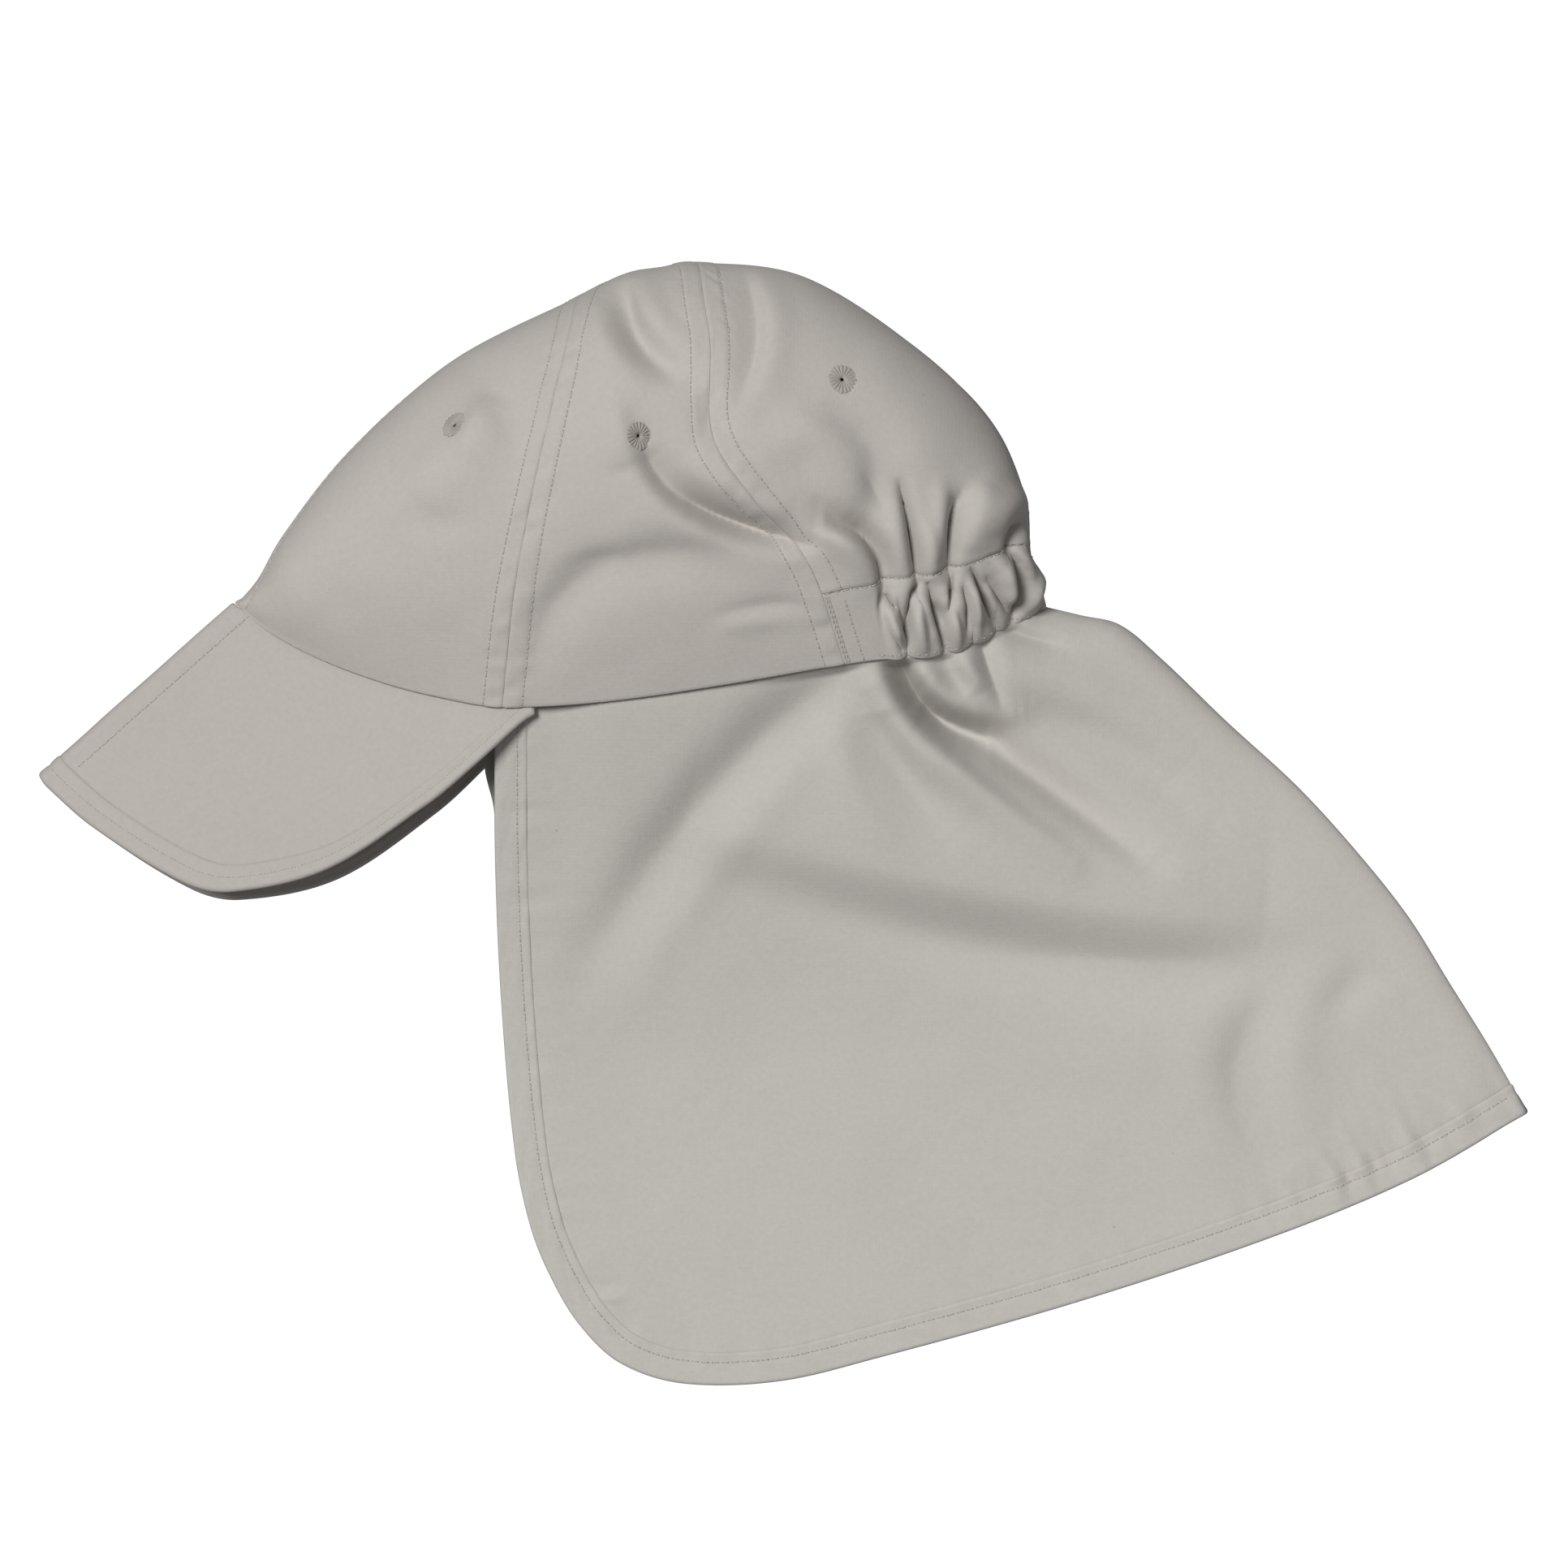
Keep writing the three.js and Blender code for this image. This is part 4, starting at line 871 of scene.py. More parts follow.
def hem_pucker(x, y):
    """Small folds that the stitching of the hem draws into the flap."""
    hem = nearest_on(hem_line, hem_shares, x, y)
    length = hem.along * HEM_HALF_LENGTH
    drawn = 0.25 + 1.5 * ease((hem.along - 0.8) / 0.1) * (1 - ease((hem.along - 0.985) / 0.015))
    ripple = noise(length, hem.off * 0.25, 5.5, 24) + 0.5 * noise(length, hem.off * 0.3, 2.7, 25)
    return drawn * ripple * np.exp(-hem.off / 7)


rim_lifts = read_table(CROWN_SECTIONS, "at", "lift", rim_ats) * RIM_LIFT
rim_step = float(np.mean(np.linalg.norm(np.diff(rim_line, axis=0), axis=-1)))


def soft_rim(x, y):
    """Distance to the rim and the rim's height there, both without kinks."""
    total = np.zeros_like(x)
    lifts = np.zeros_like(x)
    for (px, py), lift in zip(rim_line, rim_lifts):
        weight = np.exp(-np.hypot(x - px, y - py) / RIM_BLUR)
        total += weight
        lifts += weight * lift
    total = np.maximum(total, 1e-30)
    reach = RIM_BLUR * (math.log(2 * RIM_BLUR / rim_step) - np.log(total))
    return np.maximum(reach, 0), lifts / total


def flap_height(x, y, facing, cloth):
    """Height of a layer of the flap: the near one falls from the rim in folds, and
    the far one lies on the floor and is lifted a little beside the rim."""
    rim = nearest_on(rim_line, rim_ats, x, y)
    behind_peak = 1 - ease((rim.along - PEAK_END_AT - 0.01) / 0.05)
    below = np.where(rim.side < 0, rim.off, 0)
    if facing > 0:
        stack = mix(FLAP_STACK, UNDER_PEAK_STACK, behind_peak)
        reach, lift = soft_rim(x, y)
        fall = np.maximum(1 - reach / FLAP_SLOPE_LENGTH, 0) ** FALL_CURVE
        drop = np.maximum(lift - stack - UPPER_REST, 0) * fall
        rise = fold_rise(FLAP_FOLDS, x, y) + lumps(FLAP_LUMPS, x, y) + hem_pucker(x, y)
        free = np.where(rise < 0, ease((below + 0.5) / 3), ease((below + 0.5) / 4))
        sag = 1.2 + drop + rise * free
        z = UPPER_REST + np.where(sag > 1, sag, np.exp(np.minimum(sag, 1) - 1))
    else:
        seat = mix(LOWER_SEAT_RISE, LOWER_PEAK_RISE, behind_peak)
        z = cloth / 2 + seat * (1 - ease((below - 1.5 - 17.5 * behind_peak) / SEAT_RAMP))
    fold_off = nearest_on(back_fold_line, fold_shares, x, y).off
    return mix(FLAP_FOLD_HEIGHT, z, round_bend(fold_off, FLAP_FOLD_DEPTH))


def flap_half(facing, share, v):
    """Middle of one layer of the flap: share runs from the back fold to the front
    edge, and v from the rim to the hem."""
    front_top = seam_point(0.0)
    top_at = mix(1, FLAP_FRONT_AT + HEM_WIDTH / CROWN_LENGTH, share)
    tuck = mix(-FOLD_CLEAR, TUCK_UNDER_RIM, ease(share / FOLD_HOLD))
    held = rim_tucked(top_at, 1.0, tuck)[..., :2]
    top = mix(held, front_top, ease((share - 0.9) / 0.1)[..., None])
    bottom = seam_point(mix(1, FLAP_CORNER_ALONG, share))
    back = back_fold_point(mix(0, HEM_ON_FOLD, v))
    front = seam_point(mix(0, FLAP_CORNER_ALONG, v))
    corner_back = back_fold_point(HEM_ON_FOLD)
    corner_front = seam_point(FLAP_CORNER_ALONG)
    s = share[..., None]
    t = v[..., None]
    corners = mix(mix(flap_back_top[:2], front_top, s), mix(corner_back, corner_front, s), t)
    place = mix(top, bottom, t) + mix(back, front, s) - corners
    z = flap_height(place[..., 0], place[..., 1], facing, FLAP_CLOTH)
    return np.concatenate([place, z[..., None]], axis=-1)


def hem_half(facing, along, v):
    """Middle of one layer of the hem, which stands out a little below the peak."""
    place = mix(seam_point(along), edge_point(along), v[..., None])
    if facing < 0:
        near = np.exp(-(((along - LOWER_FRONT_AT) / LOWER_FRONT_SPREAD) ** 2))
        place[..., 0] -= LOWER_FRONT_OUT * v * near
    z = flap_height(place[..., 0], place[..., 1], facing, HEM_THICKNESS)
    return np.concatenate([place, z[..., None]], axis=-1)


def folded(half, shares, rows, lower_shares=None):
    """Both halves of a folded piece as one grid, the lower half first."""
    lower_shares = shares if lower_shares is None else lower_shares
    v, s = np.meshgrid(rows, lower_shares, indexing="ij")
    lower = half(-1, s, v)[:, ::-1]
    v, s = np.meshgrid(rows, shares, indexing="ij")
    upper = half(1, s, v)
    return np.concatenate([lower, upper[:, 1:]], axis=1)


def face_normals(points):
    """Normals of a grid of points, all to the same side of it."""
    normal = np.cross(np.gradient(points, axis=1), np.gradient(points, axis=0))
    return normal / np.maximum(np.linalg.norm(normal, axis=-1, keepdims=True), 1e-9)


def grid_normals(points):
    """Normals of a folded grid, whose upper half faces up."""
    normal = face_normals(points)
    middle = points.shape[0] // 2
    upper = points.shape[1] * 3 // 4
    return normal if normal[middle, upper, 2] >= 0 else -normal


# Materials

def linear(red, green, blue):
    """Colour from 0 to 255 as it shows on a screen, made linear."""
    out = []
    for value in (red, green, blue):
        c = value / 255
        out.append(c / 12.92 if c <= 0.04045 else ((c + 0.055) / 1.055) ** 2.4)
    return (*out, 1.0)


def cloth_material(name, colour, roughness, mottling, thread_pitch, relief):
    """Woven cloth: mottled colour, lint specks, fine weave and soft fuzz."""
    material = bpy.data.materials.new(name)
    material.use_nodes = True
    nodes = material.node_tree.nodes
    links = material.node_tree.links
    shader = nodes["Principled BSDF"]
    shader.inputs["Roughness"].default_value = roughness
    shader.inputs["Specular IOR Level"].default_value = 0.25
    shader.inputs["Sheen Weight"].default_value = 0.12
    shader.inputs["Sheen Roughness"].default_value = 0.5
    place = nodes.new("ShaderNodeTexCoord")

    def add_noise(scale, detail):
        node = nodes.new("ShaderNodeTexNoise")
        node.inputs["Scale"].default_value = scale
        node.inputs["Detail"].default_value = detail
        links.new(place.outputs["Object"], node.inputs["Vector"])
        return node.outputs["Fac"]

    def math_node(operation, first, second):
        node = nodes.new("ShaderNodeMath")
        node.operation = operation
        for socket, value in zip(node.inputs, (first, second)):
            if isinstance(value, (int, float)):
                socket.default_value = value
            else:
                links.new(value, socket)
        return node.outputs[0]

    broad = math_node("SUBTRACT", add_noise(28, 3), 0.5)
    fine = math_node("SUBTRACT", add_noise(620, 4), 0.5)
    tone = math_node("ADD", math_node("MULTIPLY", broad, 0.35), fine)
    specks = nodes.new("ShaderNodeTexVoronoi")
    specks.inputs["Scale"].default_value = 42
    links.new(place.outputs["Object"], specks.inputs["Vector"])
    speck = math_node("LESS_THAN", specks.outputs["Distance"], 0.0135)
    mottled = math_node("MULTIPLY", tone, mottling)
    shade = math_node("SUBTRACT", mottled, math_node("MULTIPLY", speck, 0.28))
    factor = math_node("ADD", shade, 1.0)
    tint = nodes.new("ShaderNodeMix")
    tint.data_type = "RGBA"
    tint.blend_type = "MULTIPLY"
    tint.inputs["Factor"].default_value = 1.0
    tint.inputs["A"].default_value = colour
    grey = nodes.new("ShaderNodeCombineColor")
    for socket in grey.inputs:
        if socket.type == "VALUE":
            links.new(factor, socket)
    links.new(grey.outputs["Color"], tint.inputs["B"])
    links.new(tint.outputs["Result"], shader.inputs["Base Color"])

    warps = []
    for direction in ("X", "Y"):
        wave = nodes.new("ShaderNodeTexWave")
        wave.wave_type = "BANDS"
        wave.bands_direction = direction
        wave.inputs["Scale"].default_value = math.pi / 10 / thread_pitch
        wave.inputs["Distortion"].default_value = 0.4
        links.new(place.outputs["Object"], wave.inputs["Vector"])
        warps.append(wave.outputs["Fac"])
    threads = math_node("MULTIPLY", math_node("ADD", warps[0], warps[1]), 0.25)
    height = math_node("ADD", threads, add_noise(1500, 3))
    bump = nodes.new("ShaderNodeBump")
    bump.inputs["Strength"].default_value = relief
    bump.inputs["Distance"].default_value = 0.0002
    links.new(height, bump.inputs["Height"])
    links.new(bump.outputs["Normal"], shader.inputs["Normal"])
    return material


CROWN_COLOUR = linear(188, 183, 177)
PEAK_COLOUR = linear(182, 177, 171)
FLAP_COLOUR = linear(190, 186, 180)
THREAD_COLOUR = linear(192, 187, 180)
EYELET_COLOUR = linear(170, 164, 157)
# Dark colour of the strips of painted shade round the stitches
STITCH_SHADE_COLOUR = linear(140, 135, 128)
WEAVE_PITCH = 0.00032
STRAND_PITCH = 0.0002
crown_cloth = cloth_material("crown_cloth", CROWN_COLOUR, 0.86, 0.14, WEAVE_PITCH, 0.35)
peak_cloth = cloth_material("peak_cloth", PEAK_COLOUR, 0.84, 0.14, WEAVE_PITCH, 0.35)
flap_cloth = cloth_material("flap_cloth", FLAP_COLOUR, 0.86, 0.14, WEAVE_PITCH, 0.35)
thread = cloth_material("thread", THREAD_COLOUR, 0.6, 0.2, STRAND_PITCH, 0.3)
eyelet_thread = cloth_material("eyelet_thread", EYELET_COLOUR, 0.6, 0.2, STRAND_PITCH, 0.3)
# A dark cloth for the strips of painted shade round the stitches
stitch_groove = cloth_material("stitch_groove", STITCH_SHADE_COLOUR, 0.9, 0.2, STRAND_PITCH, 0.1)


# Seams, stitches and the strips of painted shade round the stitches

def seam_profile(distance, along, seed, puckered):
    """Rise of the cloth beside a seam: a groove, a raised band and, where it is
    puckered, small waves across the band."""
    band = BAND_RISE * (1 - ease((distance - SEAM_BAND) / 0.9))
    groove = -SEAM_DEPTH * np.exp(-((distance / 0.6) ** 2))
    row = -ROW_DEPTH * np.exp(-(((distance - SEAM_BAND) / 0.6) ** 2))
    near = ease(distance / 1.5) * (1 - ease((distance - 4) / 6))
    pucker = PUCKER_RISE * noise(along, distance * 0.35, PUCKER_LENGTH, seed) * near * puckered
    return band + groove + row + pucker


STITCH_RINGS = table(
    "share girth rise",
    (0.0, 0.3, -0.9), (0.12, 0.85, 0.1), (0.5, 1.0, 0.45),
    (0.88, 0.85, 0.1), (1.0, 0.3, -0.9),
)
# Half width of the strip of painted shade round each thread, at shares of the stitch
SHADE_STRIP_OUTLINE = table(
    "share width",
    (-0.06, 0.1), (0.0, 0.26), (0.15, 0.22), (0.5, 0.2),
    (0.85, 0.22), (1.0, 0.26), (1.06, 0.1),
)
stitch_groups = {}
# Vertices and faces of the strips of painted shade round the stitches
shade_strip_group = ([], [])


def add_thread(group, frames, surface):
    """One thread of a row, as rings round its middle line."""
    vertices, faces = group
    base = len(vertices)
    for ring, (point, normal, side) in zip(STITCH_RINGS, frames):
        centre = point + normal * (surface + ring.rise * STITCH_RADIUS)
        for k in range(STITCH_SIDES):
            angle = 2 * math.pi * k / STITCH_SIDES
            turn = side * math.cos(angle) + normal * math.sin(angle)
            vertices.append(centre + turn * STITCH_RADIUS * ring.girth)
    last = base + STITCH_SIDES * (len(STITCH_RINGS) - 1)
    for a in range(base, last, STITCH_SIDES):
        for k in range(STITCH_SIDES):
            b = (k + 1) % STITCH_SIDES
            faces.append((a + k, a + b, a + b + STITCH_SIDES, a + k + STITCH_SIDES))
    faces.append(tuple(base + k for k in reversed(range(STITCH_SIDES))))
    faces.append(tuple(last + k for k in range(STITCH_SIDES)))


def add_shade_strip(group, frames, surface):
    """A strip of painted shade round one thread, where it sinks into the cloth."""
    vertices, faces = group
    base = len(vertices)
    for row, (point, normal, side) in zip(SHADE_STRIP_OUTLINE, frames):
        vertices.append(point + normal * (surface + SHADE_STRIP_LIFT) + side * row.width)
        vertices.append(point + normal * (surface + SHADE_STRIP_LIFT) - side * row.width)
    for a in range(base, base + 2 * len(SHADE_STRIP_OUTLINE) - 2, 2):
        faces.append((a, a + 1, a + 3, a + 2))


def sew(group, line, normals, surface, length=STITCH_LENGTH, gap=STITCH_GAP):
    """A row of threads along a line, on the cloth's face, with strips of painted shade round
    them.
    """
    total = running(line[None], 1)[0]
    threads = stitch_groups.setdefault(group, ([], []))

    def on_line(values, place):
        return np.array([np.interp(place, total, values[:, k]) for k in range(3)])

    def frame_at(place):
        normal = on_line(normals, place)
        normal = normal / np.linalg.norm(normal)
        side = np.cross(normal, on_line(line, place + 0.2) - on_line(line, place - 0.2))
        return on_line(line, place), normal, side / max(np.linalg.norm(side), 1e-9)

    place = ROW_END_GAP
    while place + length < total[-1] - ROW_END_GAP:
        rings = [frame_at(place + ring.share * length) for ring in STITCH_RINGS]
        add_thread(threads, rings, surface)
        # A strip of painted shade round the thread
        rows = [frame_at(place + row.share * length) for row in SHADE_STRIP_OUTLINE]
        add_shade_strip(shade_strip_group, rows, surface)
        place += length + gap


def row_beside(points, normals, distance, value, by_rows=True):
    """Line at a distance from an edge, with the normals along it. It stops where the
    piece is too narrow for it."""
    if not by_rows:
        points = np.swapaxes(points, 0, 1)
        normals = np.swapaxes(normals, 0, 1)
        distance = distance.T
    line = []
    facing = []
    for j in range(points.shape[0]):
        order = np.argsort(distance[j])
        reach = distance[j][order]
        if reach[-1] < value * 1.15:
            continue
        line.append([np.interp(value, reach, points[j][order, k]) for k in range(3)])
        facing.append([np.interp(value, reach, normals[j][order, k]) for k in range(3)])
    return np.array(line), np.array(facing)


def crown_normals(points, at, side):
    normals = face_normals(points)
    base = normal_of(crown_base, at, side)
    return normals if np.sum(normals * base) > 0 else -normals


UPPER_GRID = (128, 140)
LOWER_GRID = (56, 60)
PUCKER_FADE = 0.35


def build_panel(name, edges, seams, seed):
    """One panel of the crown, with raised bands and stitches along its seams."""
    grid = UPPER_GRID if name.endswith("_left") else LOWER_GRID
    at, side = patch_grid(edges, *grid)
    points = crown_point(at, side)
    normals = crown_normals(points, at, side)
    across = running(points, 1)
    upward = running(points, 0)
    distances = {
        "left": across, "right": across[:, -1:] - across,
        "top": upward[-1:] - upward, "bottom": upward,
    }
    alongs = {"left": upward, "right": upward, "top": across, "bottom": across}
    rise = np.zeros(at.shape)
    for k, seam in enumerate(seams):
        rise += seam_profile(distances[seam], alongs[seam], seed + k, ease(side / PUCKER_FADE))
    upper = side > -0.4
    rise = np.where(upper, rise, 0.15 * rise)
    points = points + normals * rise[..., None]
    points[..., 2] = np.maximum(points[..., 2], CROWN_CLOTH / 2)
    normals = crown_normals(points, at, side)
    piece = wall(f"{name}_cloth", points, normals, CROWN_CLOTH, SEAM_ROUND)
    for seam in seams:
        by_rows = seam in ("left", "right")
        line, facing = row_beside(points, normals, distances[seam], SEAM_BAND, by_rows)
        if len(line) > 4:
            sew("crown_stitches", line, facing, CROWN_CLOTH / 2)
    return piece


def around(centre, normal, angle, radius, height):
    """A point at an angle, radius and height about the normal of a surface."""
    axis = Vector(normal)
    tangent = axis.orthogonal().normalized()
    turn = tangent * math.cos(angle) + axis.cross(tangent) * math.sin(angle)
    return np.array(centre) + np.array(turn * radius + axis * height)


def cut_hole(piece, centre, normal, radius):
    """Cuts a round hole through a piece, square to its face."""
    sides = DRILL_SIDES
    corners = []
    for reach in (-DRILL_REACH, DRILL_REACH):
        for k in range(sides):
            corners.append(around(centre, normal, 2 * math.pi * k / sides, radius, reach))
    faces = [(k, (k + 1) % sides, sides + (k + 1) % sides, sides + k) for k in range(sides)]
    faces.append(tuple(reversed(range(sides))))
    faces.append(tuple(range(sides, 2 * sides)))
    drill = mesh_object("drill", corners, faces, smooth=False)
    cut = piece.modifiers.new("hole", "BOOLEAN")
    cut.operation = "DIFFERENCE"
    cut.solver = "EXACT"
    cut.object = drill
    bpy.context.view_layer.update()
    graph = bpy.context.evaluated_depsgraph_get()
    mesh = bpy.data.meshes.new_from_object(piece.evaluated_get(graph))
    piece.modifiers.clear()
    piece.data = mesh
    bpy.data.objects.remove(drill)


EYELET_PROFILE = table(
    "radius height",
    (EYELET_HOLE, -0.45), (EYELET_HOLE, 0.1), (1.1, 0.5),
    (1.8, 0.74), (2.8, 0.86), (3.6, 0.82), (4.2, 0.74),
    (EYELET_RADIUS, 0.6), (EYELET_RADIUS, 0.54), (3.95, 0.53),
    (3.7, -0.4),
)


def build_eyelet(name, centre, normal):
    """Radial threads round a small hole, lying on the cloth beside it."""
    steps = EYELET_THREADS * THREAD_STEPS
    rng = np.random.default_rng(int(abs(centre[0]) * 10))
    longer = rng.uniform(-0.2, 0.15, EYELET_THREADS + 1)
    higher = rng.uniform(-0.08, 0.08, EYELET_THREADS + 1)
    vertices = []
    for k in range(steps):
        angle = 2 * math.pi * k / steps
        ridge = abs(math.sin(angle * EYELET_THREADS / 2)) ** 0.5
        thread_now = k // THREAD_STEPS
        for radius, height in EYELET_PROFILE:
            lift = height
            if height > 0.55:
                lift += 0.5 * (ridge - 1) * min(height / 0.7, 1) + higher[thread_now]
            grow = longer[thread_now] * ridge if radius > 4.1 else 0
            vertices.append(around(centre, normal, angle, radius + grow, lift))
    count = len(EYELET_PROFILE)
    faces = []
    for k in range(steps):
        here = k * count
        beyond = ((k + 1) % steps) * count
        for ring in range(count):
            after = (ring + 1) % count
            faces.append((here + ring, beyond + ring, beyond + after, here + after))
    return mesh_object(name, vertices, faces)


# Crown

PANELS = table(
    "name edges seams",
    ("crown_front", front_panel, ("right", "top")),
    ("crown_side", side_panel, ("left", "right")),
    ("crown_back", back_panel, ("left", "right")),
)
seed = 31
for facing, half in ((1, "left"), (-1, "right")):
    for panel in PANELS:
        name = f"{panel.name}_{half}"
        cloth = build_panel(name, panel.edges(facing), panel.seams, seed)
        finish_piece(cloth, crown_cloth, name)
        seed += 10

for place in EYELETS:
    spot = crown_point(np.array(place.at), np.array(place.side))
    facing = normal_of(crown_point, np.array(place.at), np.array(place.side))
    cut_hole(pieces[place.panel], spot, facing, EYELET_SEAT)
    ring = build_eyelet(f"{place.node}_thread", spot, facing)
    finish_piece(ring, eyelet_thread, place.node)

# Casing, with a row of stitches below its upper edge, rows beside the seam where
# it starts and one along its rim
casing_points = folded(
    lambda facing, share, up: casing_half(facing, 1 - share, up),
    np.linspace(0, 1, CASING_COLUMNS), np.linspace(0, CASING_TOP_SHARE, CASING_ROWS),
)
casing_normals = grid_normals(casing_points)
casing = wall("back_casing_cloth", casing_points, casing_normals, CASING_CLOTH)
finish_piece(casing, crown_cloth, "back_casing")
half_start = casing_points.shape[1] // 2
near_half = casing_points[:, half_start:][:, ::-1]
near_normals = casing_normals[:, half_start:][:, ::-1]
sew(
    "crown_stitches", near_half[-1, :-2], near_normals[-1, :-2],
    CASING_CLOTH / 2 + 0.05, length=2.0, gap=0.9,
)
CASING_ROWS_BESIDE_SEAM = table(
    "from_seam length gap",
    (SEAM_BAND, STITCH_LENGTH, STITCH_GAP),
    (1.5, 1.5, 0.25),
    (0.7, 1.5, 0.25),
)
from_seam = running(near_half, 1)
for row in CASING_ROWS_BESIDE_SEAM:
    line, facing = row_beside(near_half, near_normals, from_seam, row.from_seam)
    sew("crown_stitches", line, facing, CASING_CLOTH / 2, row.length, row.gap)
RIM_ROW = 2
sew(
    "crown_stitches", near_half[RIM_ROW, 30:-8], near_normals[RIM_ROW, 30:-8],
    CASING_CLOTH / 2, length=1.6, gap=1.1,
)

# Peak: the plate ends inside the binding, where it is still wide enough to fold
PLATE_LEAST = 0.12
peak_shares = np.linspace(0, 1, 91) ** 1.3
plate_shares = peak_shares[binding_start(1, peak_shares) > PLATE_LEAST]


def plate_half(facing, share, v):
    return peak_half(facing, share, v * binding_start(facing, share))


def binding_half(facing, share, v):
    point = peak_half(facing, share, mix(binding_start(facing, share), 1, v))
    point[..., 2] = np.maximum(point[..., 2], BINDING_THICKNESS / 2)
    return point


peak_points = folded(plate_half, plate_shares, np.linspace(0, 1, 41))
peak_normals = grid_normals(peak_points)
from_fold = off_fold(peak_points[..., 0], peak_points[..., 1])
dent = -0.3 * np.exp(-(((from_fold - PEAK_ROW_FROM_FOLD) / 0.7) ** 2))
dent += 0.14 * noise(peak_points[..., 0], peak_points[..., 1], 15, 91)
peak_points = peak_points + peak_normals * dent[..., None]
peak = wall("peak_cloth", peak_points, peak_normals, PEAK_THICKNESS)
finish_piece(peak, peak_cloth, "peak")

binding_rows = np.linspace(0, 1, 9)
binding_points = folded(binding_half, peak_shares, binding_rows)
binding_normals = grid_normals(binding_points)
binding_dent = np.exp(-(((binding_rows - 0.5) * BINDING_WIDTH / 0.9) ** 2))[:, None]
binding_rise = -0.28 * binding_dent
binding_rise = binding_rise + 0.12 * noise(binding_points[..., 0], binding_points[..., 1], 5, 92)
binding_points = binding_points + binding_normals * binding_rise[..., None]
binding = wall("peak_binding_cloth", binding_points, binding_normals, BINDING_THICKNESS)
finish_piece(binding, peak_cloth, "peak_binding")

middle = peak_points.shape[1] // 2
line, facing = row_beside(
    peak_points[:, middle:], peak_normals[:, middle:], from_fold[:, middle:],
    PEAK_ROW_FROM_FOLD,
)
sew("peak_stitches", line, facing, PEAK_THICKNESS / 2, PEAK_STITCH_LENGTH, PEAK_STITCH_GAP)
middle = binding_points.shape[1] // 2
sew(
    "peak_stitches", binding_points[4, middle + 2:], binding_normals[4, middle + 2:],
    BINDING_THICKNESS / 2, PEAK_STITCH_LENGTH, PEAK_STITCH_GAP,
)

# Neck flap and its hem
flap_shares = np.linspace(0, 1, 206) ** 1.1
flap_lower_shares = 0.5 - 0.5 * np.cos(np.pi * np.linspace(0, 1, 41))
flap_rows = np.linspace(0, 1, 191) ** 1.3
flap_points = folded(flap_half, flap_shares, flap_rows, flap_lower_shares)
flap_normals = grid_normals(flap_points)
flap = wall("neck_flap_cloth", flap_points, flap_normals, FLAP_CLOTH)
finish_piece(flap, flap_cloth, "neck_flap")

hem_alongs = np.concatenate([np.linspace(1, 0.98, 12), np.linspace(0.98, 0, 420)[1:]])
hem_rows = np.linspace(0, 1, 11)
hem_points = folded(
    lambda facing, share, v: hem_half(facing, 1 - share, v), 1 - hem_alongs, hem_rows,
)
hem_normals = grid_normals(hem_points)
hem_run = running(hem_points, 1)
hem_across = hem_rows[:, None] * HEM_WIDTH * 0.5 + 0 * hem_run
hem_row_at = 0.26
hem_rise = -0.22 * np.exp(-(((hem_rows - hem_row_at) * HEM_WIDTH / 0.8) ** 2))[:, None]
hem_rise = hem_rise + 0.2 * noise(hem_run, hem_across, 5.5, 93)
hem_points = hem_points + hem_normals * hem_rise[..., None]
hem = wall("flap_hem_cloth", hem_points, hem_normals, HEM_THICKNESS)
finish_piece(hem, flap_cloth, "flap_hem")
middle = hem_points.shape[1] // 2
row_index = int(round(hem_row_at * 10))
sew(
    "flap_stitches", hem_points[row_index, middle + 6:], hem_normals[row_index, middle + 6:],
    HEM_THICKNESS / 2,
)

for group, (vertices, faces) in stitch_groups.items():
    stitches = mesh_object(group, vertices, faces)
    finish_piece(stitches, thread)
# The strips of painted shade round all stitches, as one dark flat mesh
shade_strips = mesh_object("stitch_grooves", *shade_strip_group, smooth=False)
finish_piece(shade_strips, stitch_groove)

# Floor, light and camera
FLOOR_SIZE = 8
FLOOR_DROP = 0.0005
bpy.ops.mesh.primitive_plane_add(size=FLOOR_SIZE, location=(0, 0, -FLOOR_DROP))
floor = bpy.context.active_object
floor.name = "floor"
paper = bpy.data.materials.new("paper")
paper.use_nodes = True
paper_nodes = paper.node_tree.nodes
paper_nodes.remove(paper_nodes["Principled BSDF"])
glow = paper_nodes.new("ShaderNodeEmission")
glow.inputs["Color"].default_value = (1.0, 1.0, 1.0, 1.0)
glow.inputs["Strength"].default_value = 1.05
surface = paper_nodes["Material Output"].inputs["Surface"]
paper.node_tree.links.new(glow.outputs["Emission"], surface)
floor.data.materials.append(paper)
floor.visible_diffuse = False
floor.visible_glossy = False


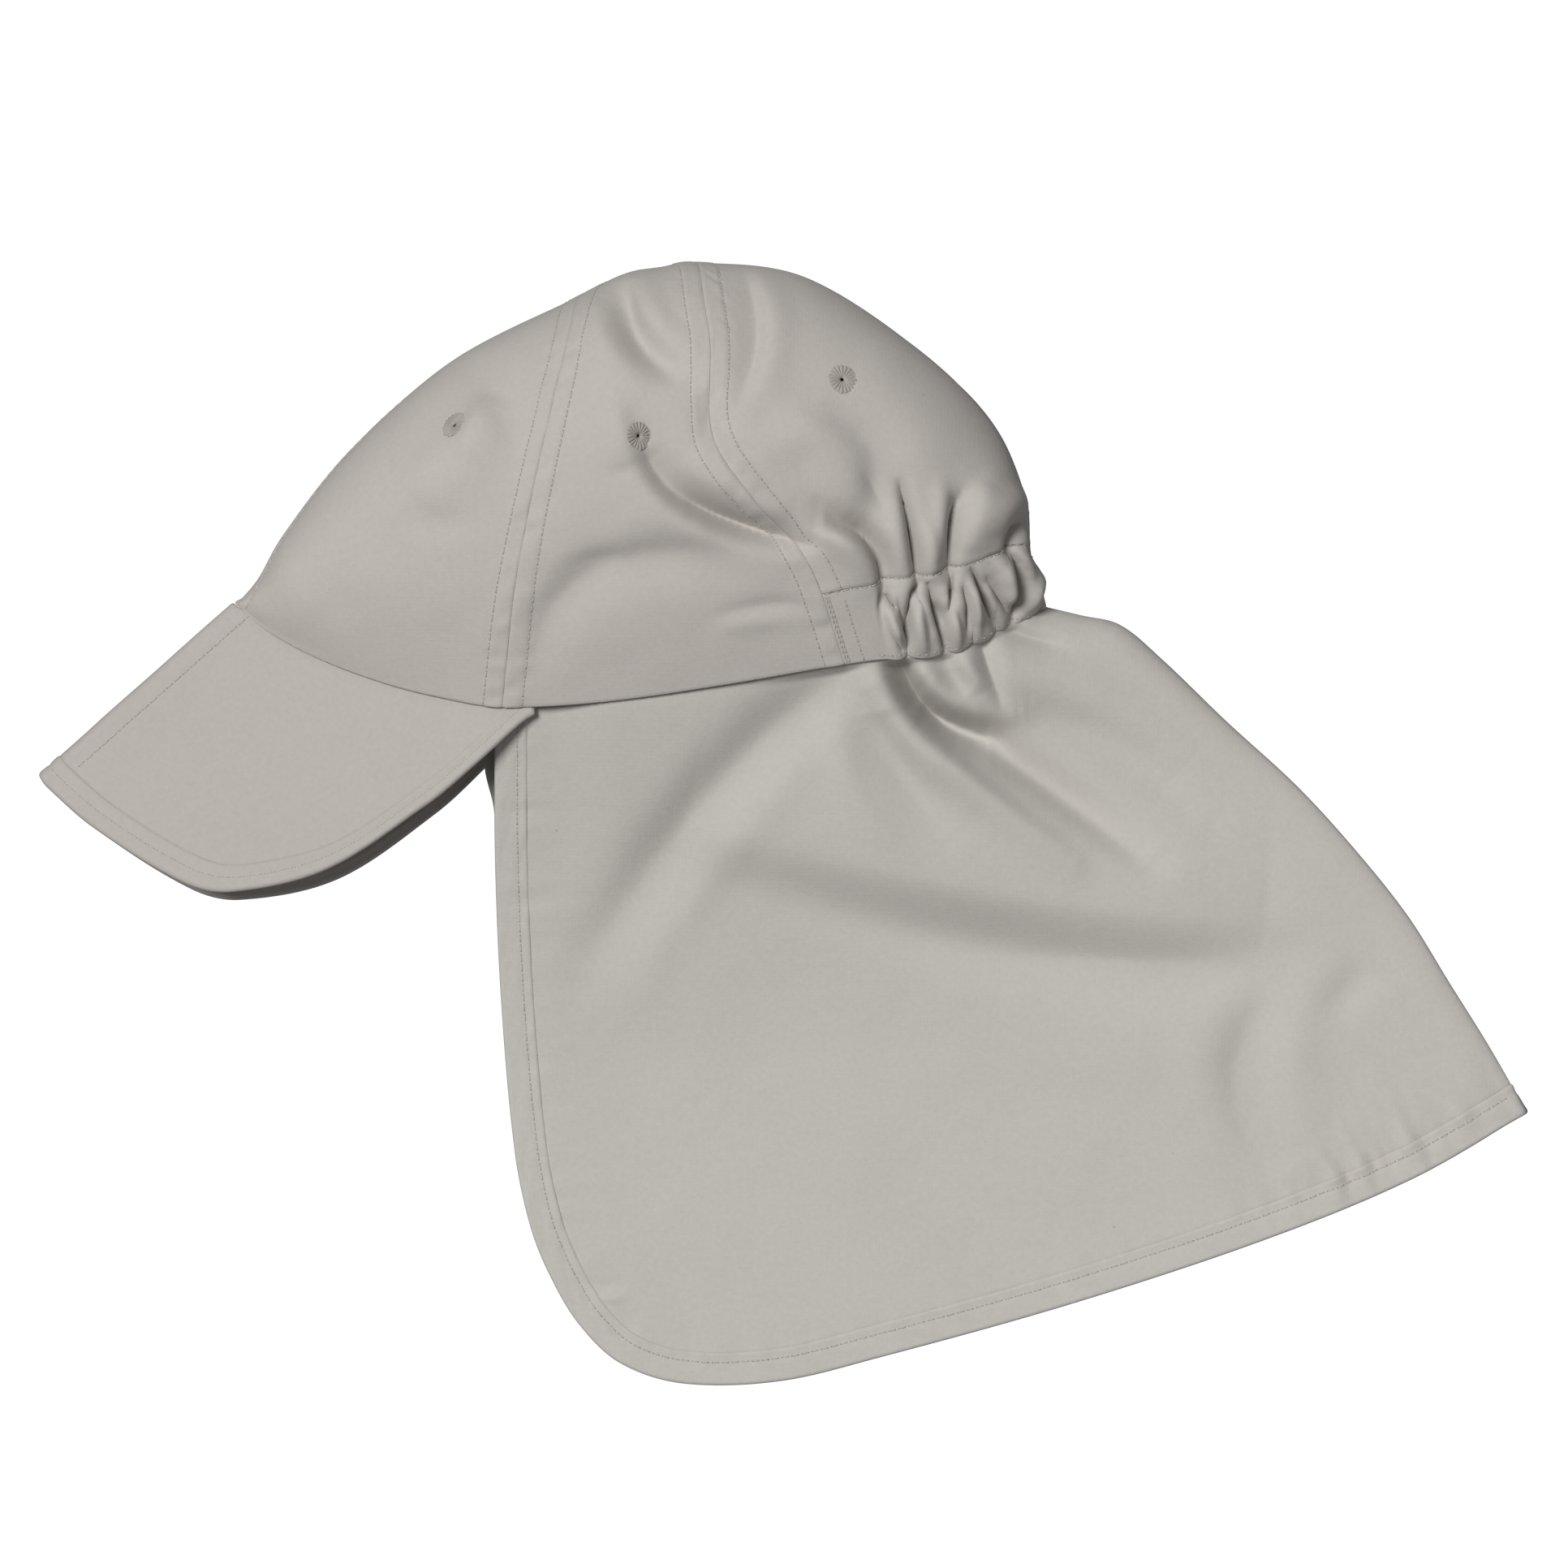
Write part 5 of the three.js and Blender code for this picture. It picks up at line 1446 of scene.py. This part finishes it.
def add_sun(name, towards, softness, strength):
    """A soft light from far off; towards points from the cap to the light."""
    data = bpy.data.lights.new(name, "SUN")
    data.angle = math.radians(softness)
    data.energy = strength
    lamp = bpy.data.objects.new(name, data)
    lamp.location = Vector(towards).normalized() * 3
    lamp.rotation_euler = (-Vector(towards)).to_track_quat("-Z", "Y").to_euler()
    bpy.context.scene.collection.objects.link(lamp)


add_sun("key", (-0.36, 0.26, 1.0), 20, 2.62)

world = bpy.data.worlds.new("studio")
world.use_nodes = True
sky = world.node_tree.nodes["Background"].inputs
sky["Color"].default_value = (1.0, 1.0, 1.0, 1.0)
sky["Strength"].default_value = 0.2
bpy.context.scene.world = world
bpy.context.scene.view_settings.view_transform = "Standard"

CAMERA_HEIGHT = 8.0
PICTURE_WIDTH = 0.483
PICTURE_MIDDLE_Y = 0.01175
camera_data = bpy.data.cameras.new("camera")
camera_data.sensor_width = 36
camera_data.lens = 36 * (CAMERA_HEIGHT - 0.01) / PICTURE_WIDTH
camera_data.clip_end = 40
camera = bpy.data.objects.new("camera", camera_data)
camera.location = (0, PICTURE_MIDDLE_Y, CAMERA_HEIGHT)
bpy.context.scene.collection.objects.link(camera)
bpy.context.scene.camera = camera

# How each piece was cut: width and length in metres, and the area where the cut
# isn't a rectangle
CUTS = table(
    "node width length area held rests_on carries",
    ("crown_front_left", 0.130, 0.165, 0.0110, "draped", ["crown_front_right"],
        ["eyelet_front_left"]),
    # this panel also carries the strips of painted shade round the stitches
    ("crown_side_left", 0.130, 0.165, 0.0114, "draped", ["crown_side_right"],
        ["eyelet_side_left", "crown_stitches", "stitch_grooves"]),
    ("crown_back_left", 0.130, 0.165, 0.0134, "draped", ["crown_back_right"],
        ["eyelet_back_left"]),
    ("crown_front_right", 0.120, 0.150, 0.0087, "laid", [], ["eyelet_front_right"]),
    ("crown_side_right", 0.110, 0.130, 0.0052, "laid", [], ["eyelet_side_right"]),
    ("crown_back_right", 0.120, 0.140, 0.0068, "laid", [], ["eyelet_back_right"]),
    ("back_casing", 0.021, 0.225, None, "gathered", [], []),
    ("peak", 0.170, 0.090, 0.0140, "folded", [], []),
    ("peak_binding", 0.011, 0.310, None, "folded", ["peak"], ["peak_stitches"]),
    ("neck_flap", 0.600, 0.210, 0.1030, "folded", [], []),
    ("flap_hem", 0.0115, 0.980, None, "folded", ["neck_flap"], ["flap_stitches"]),
)
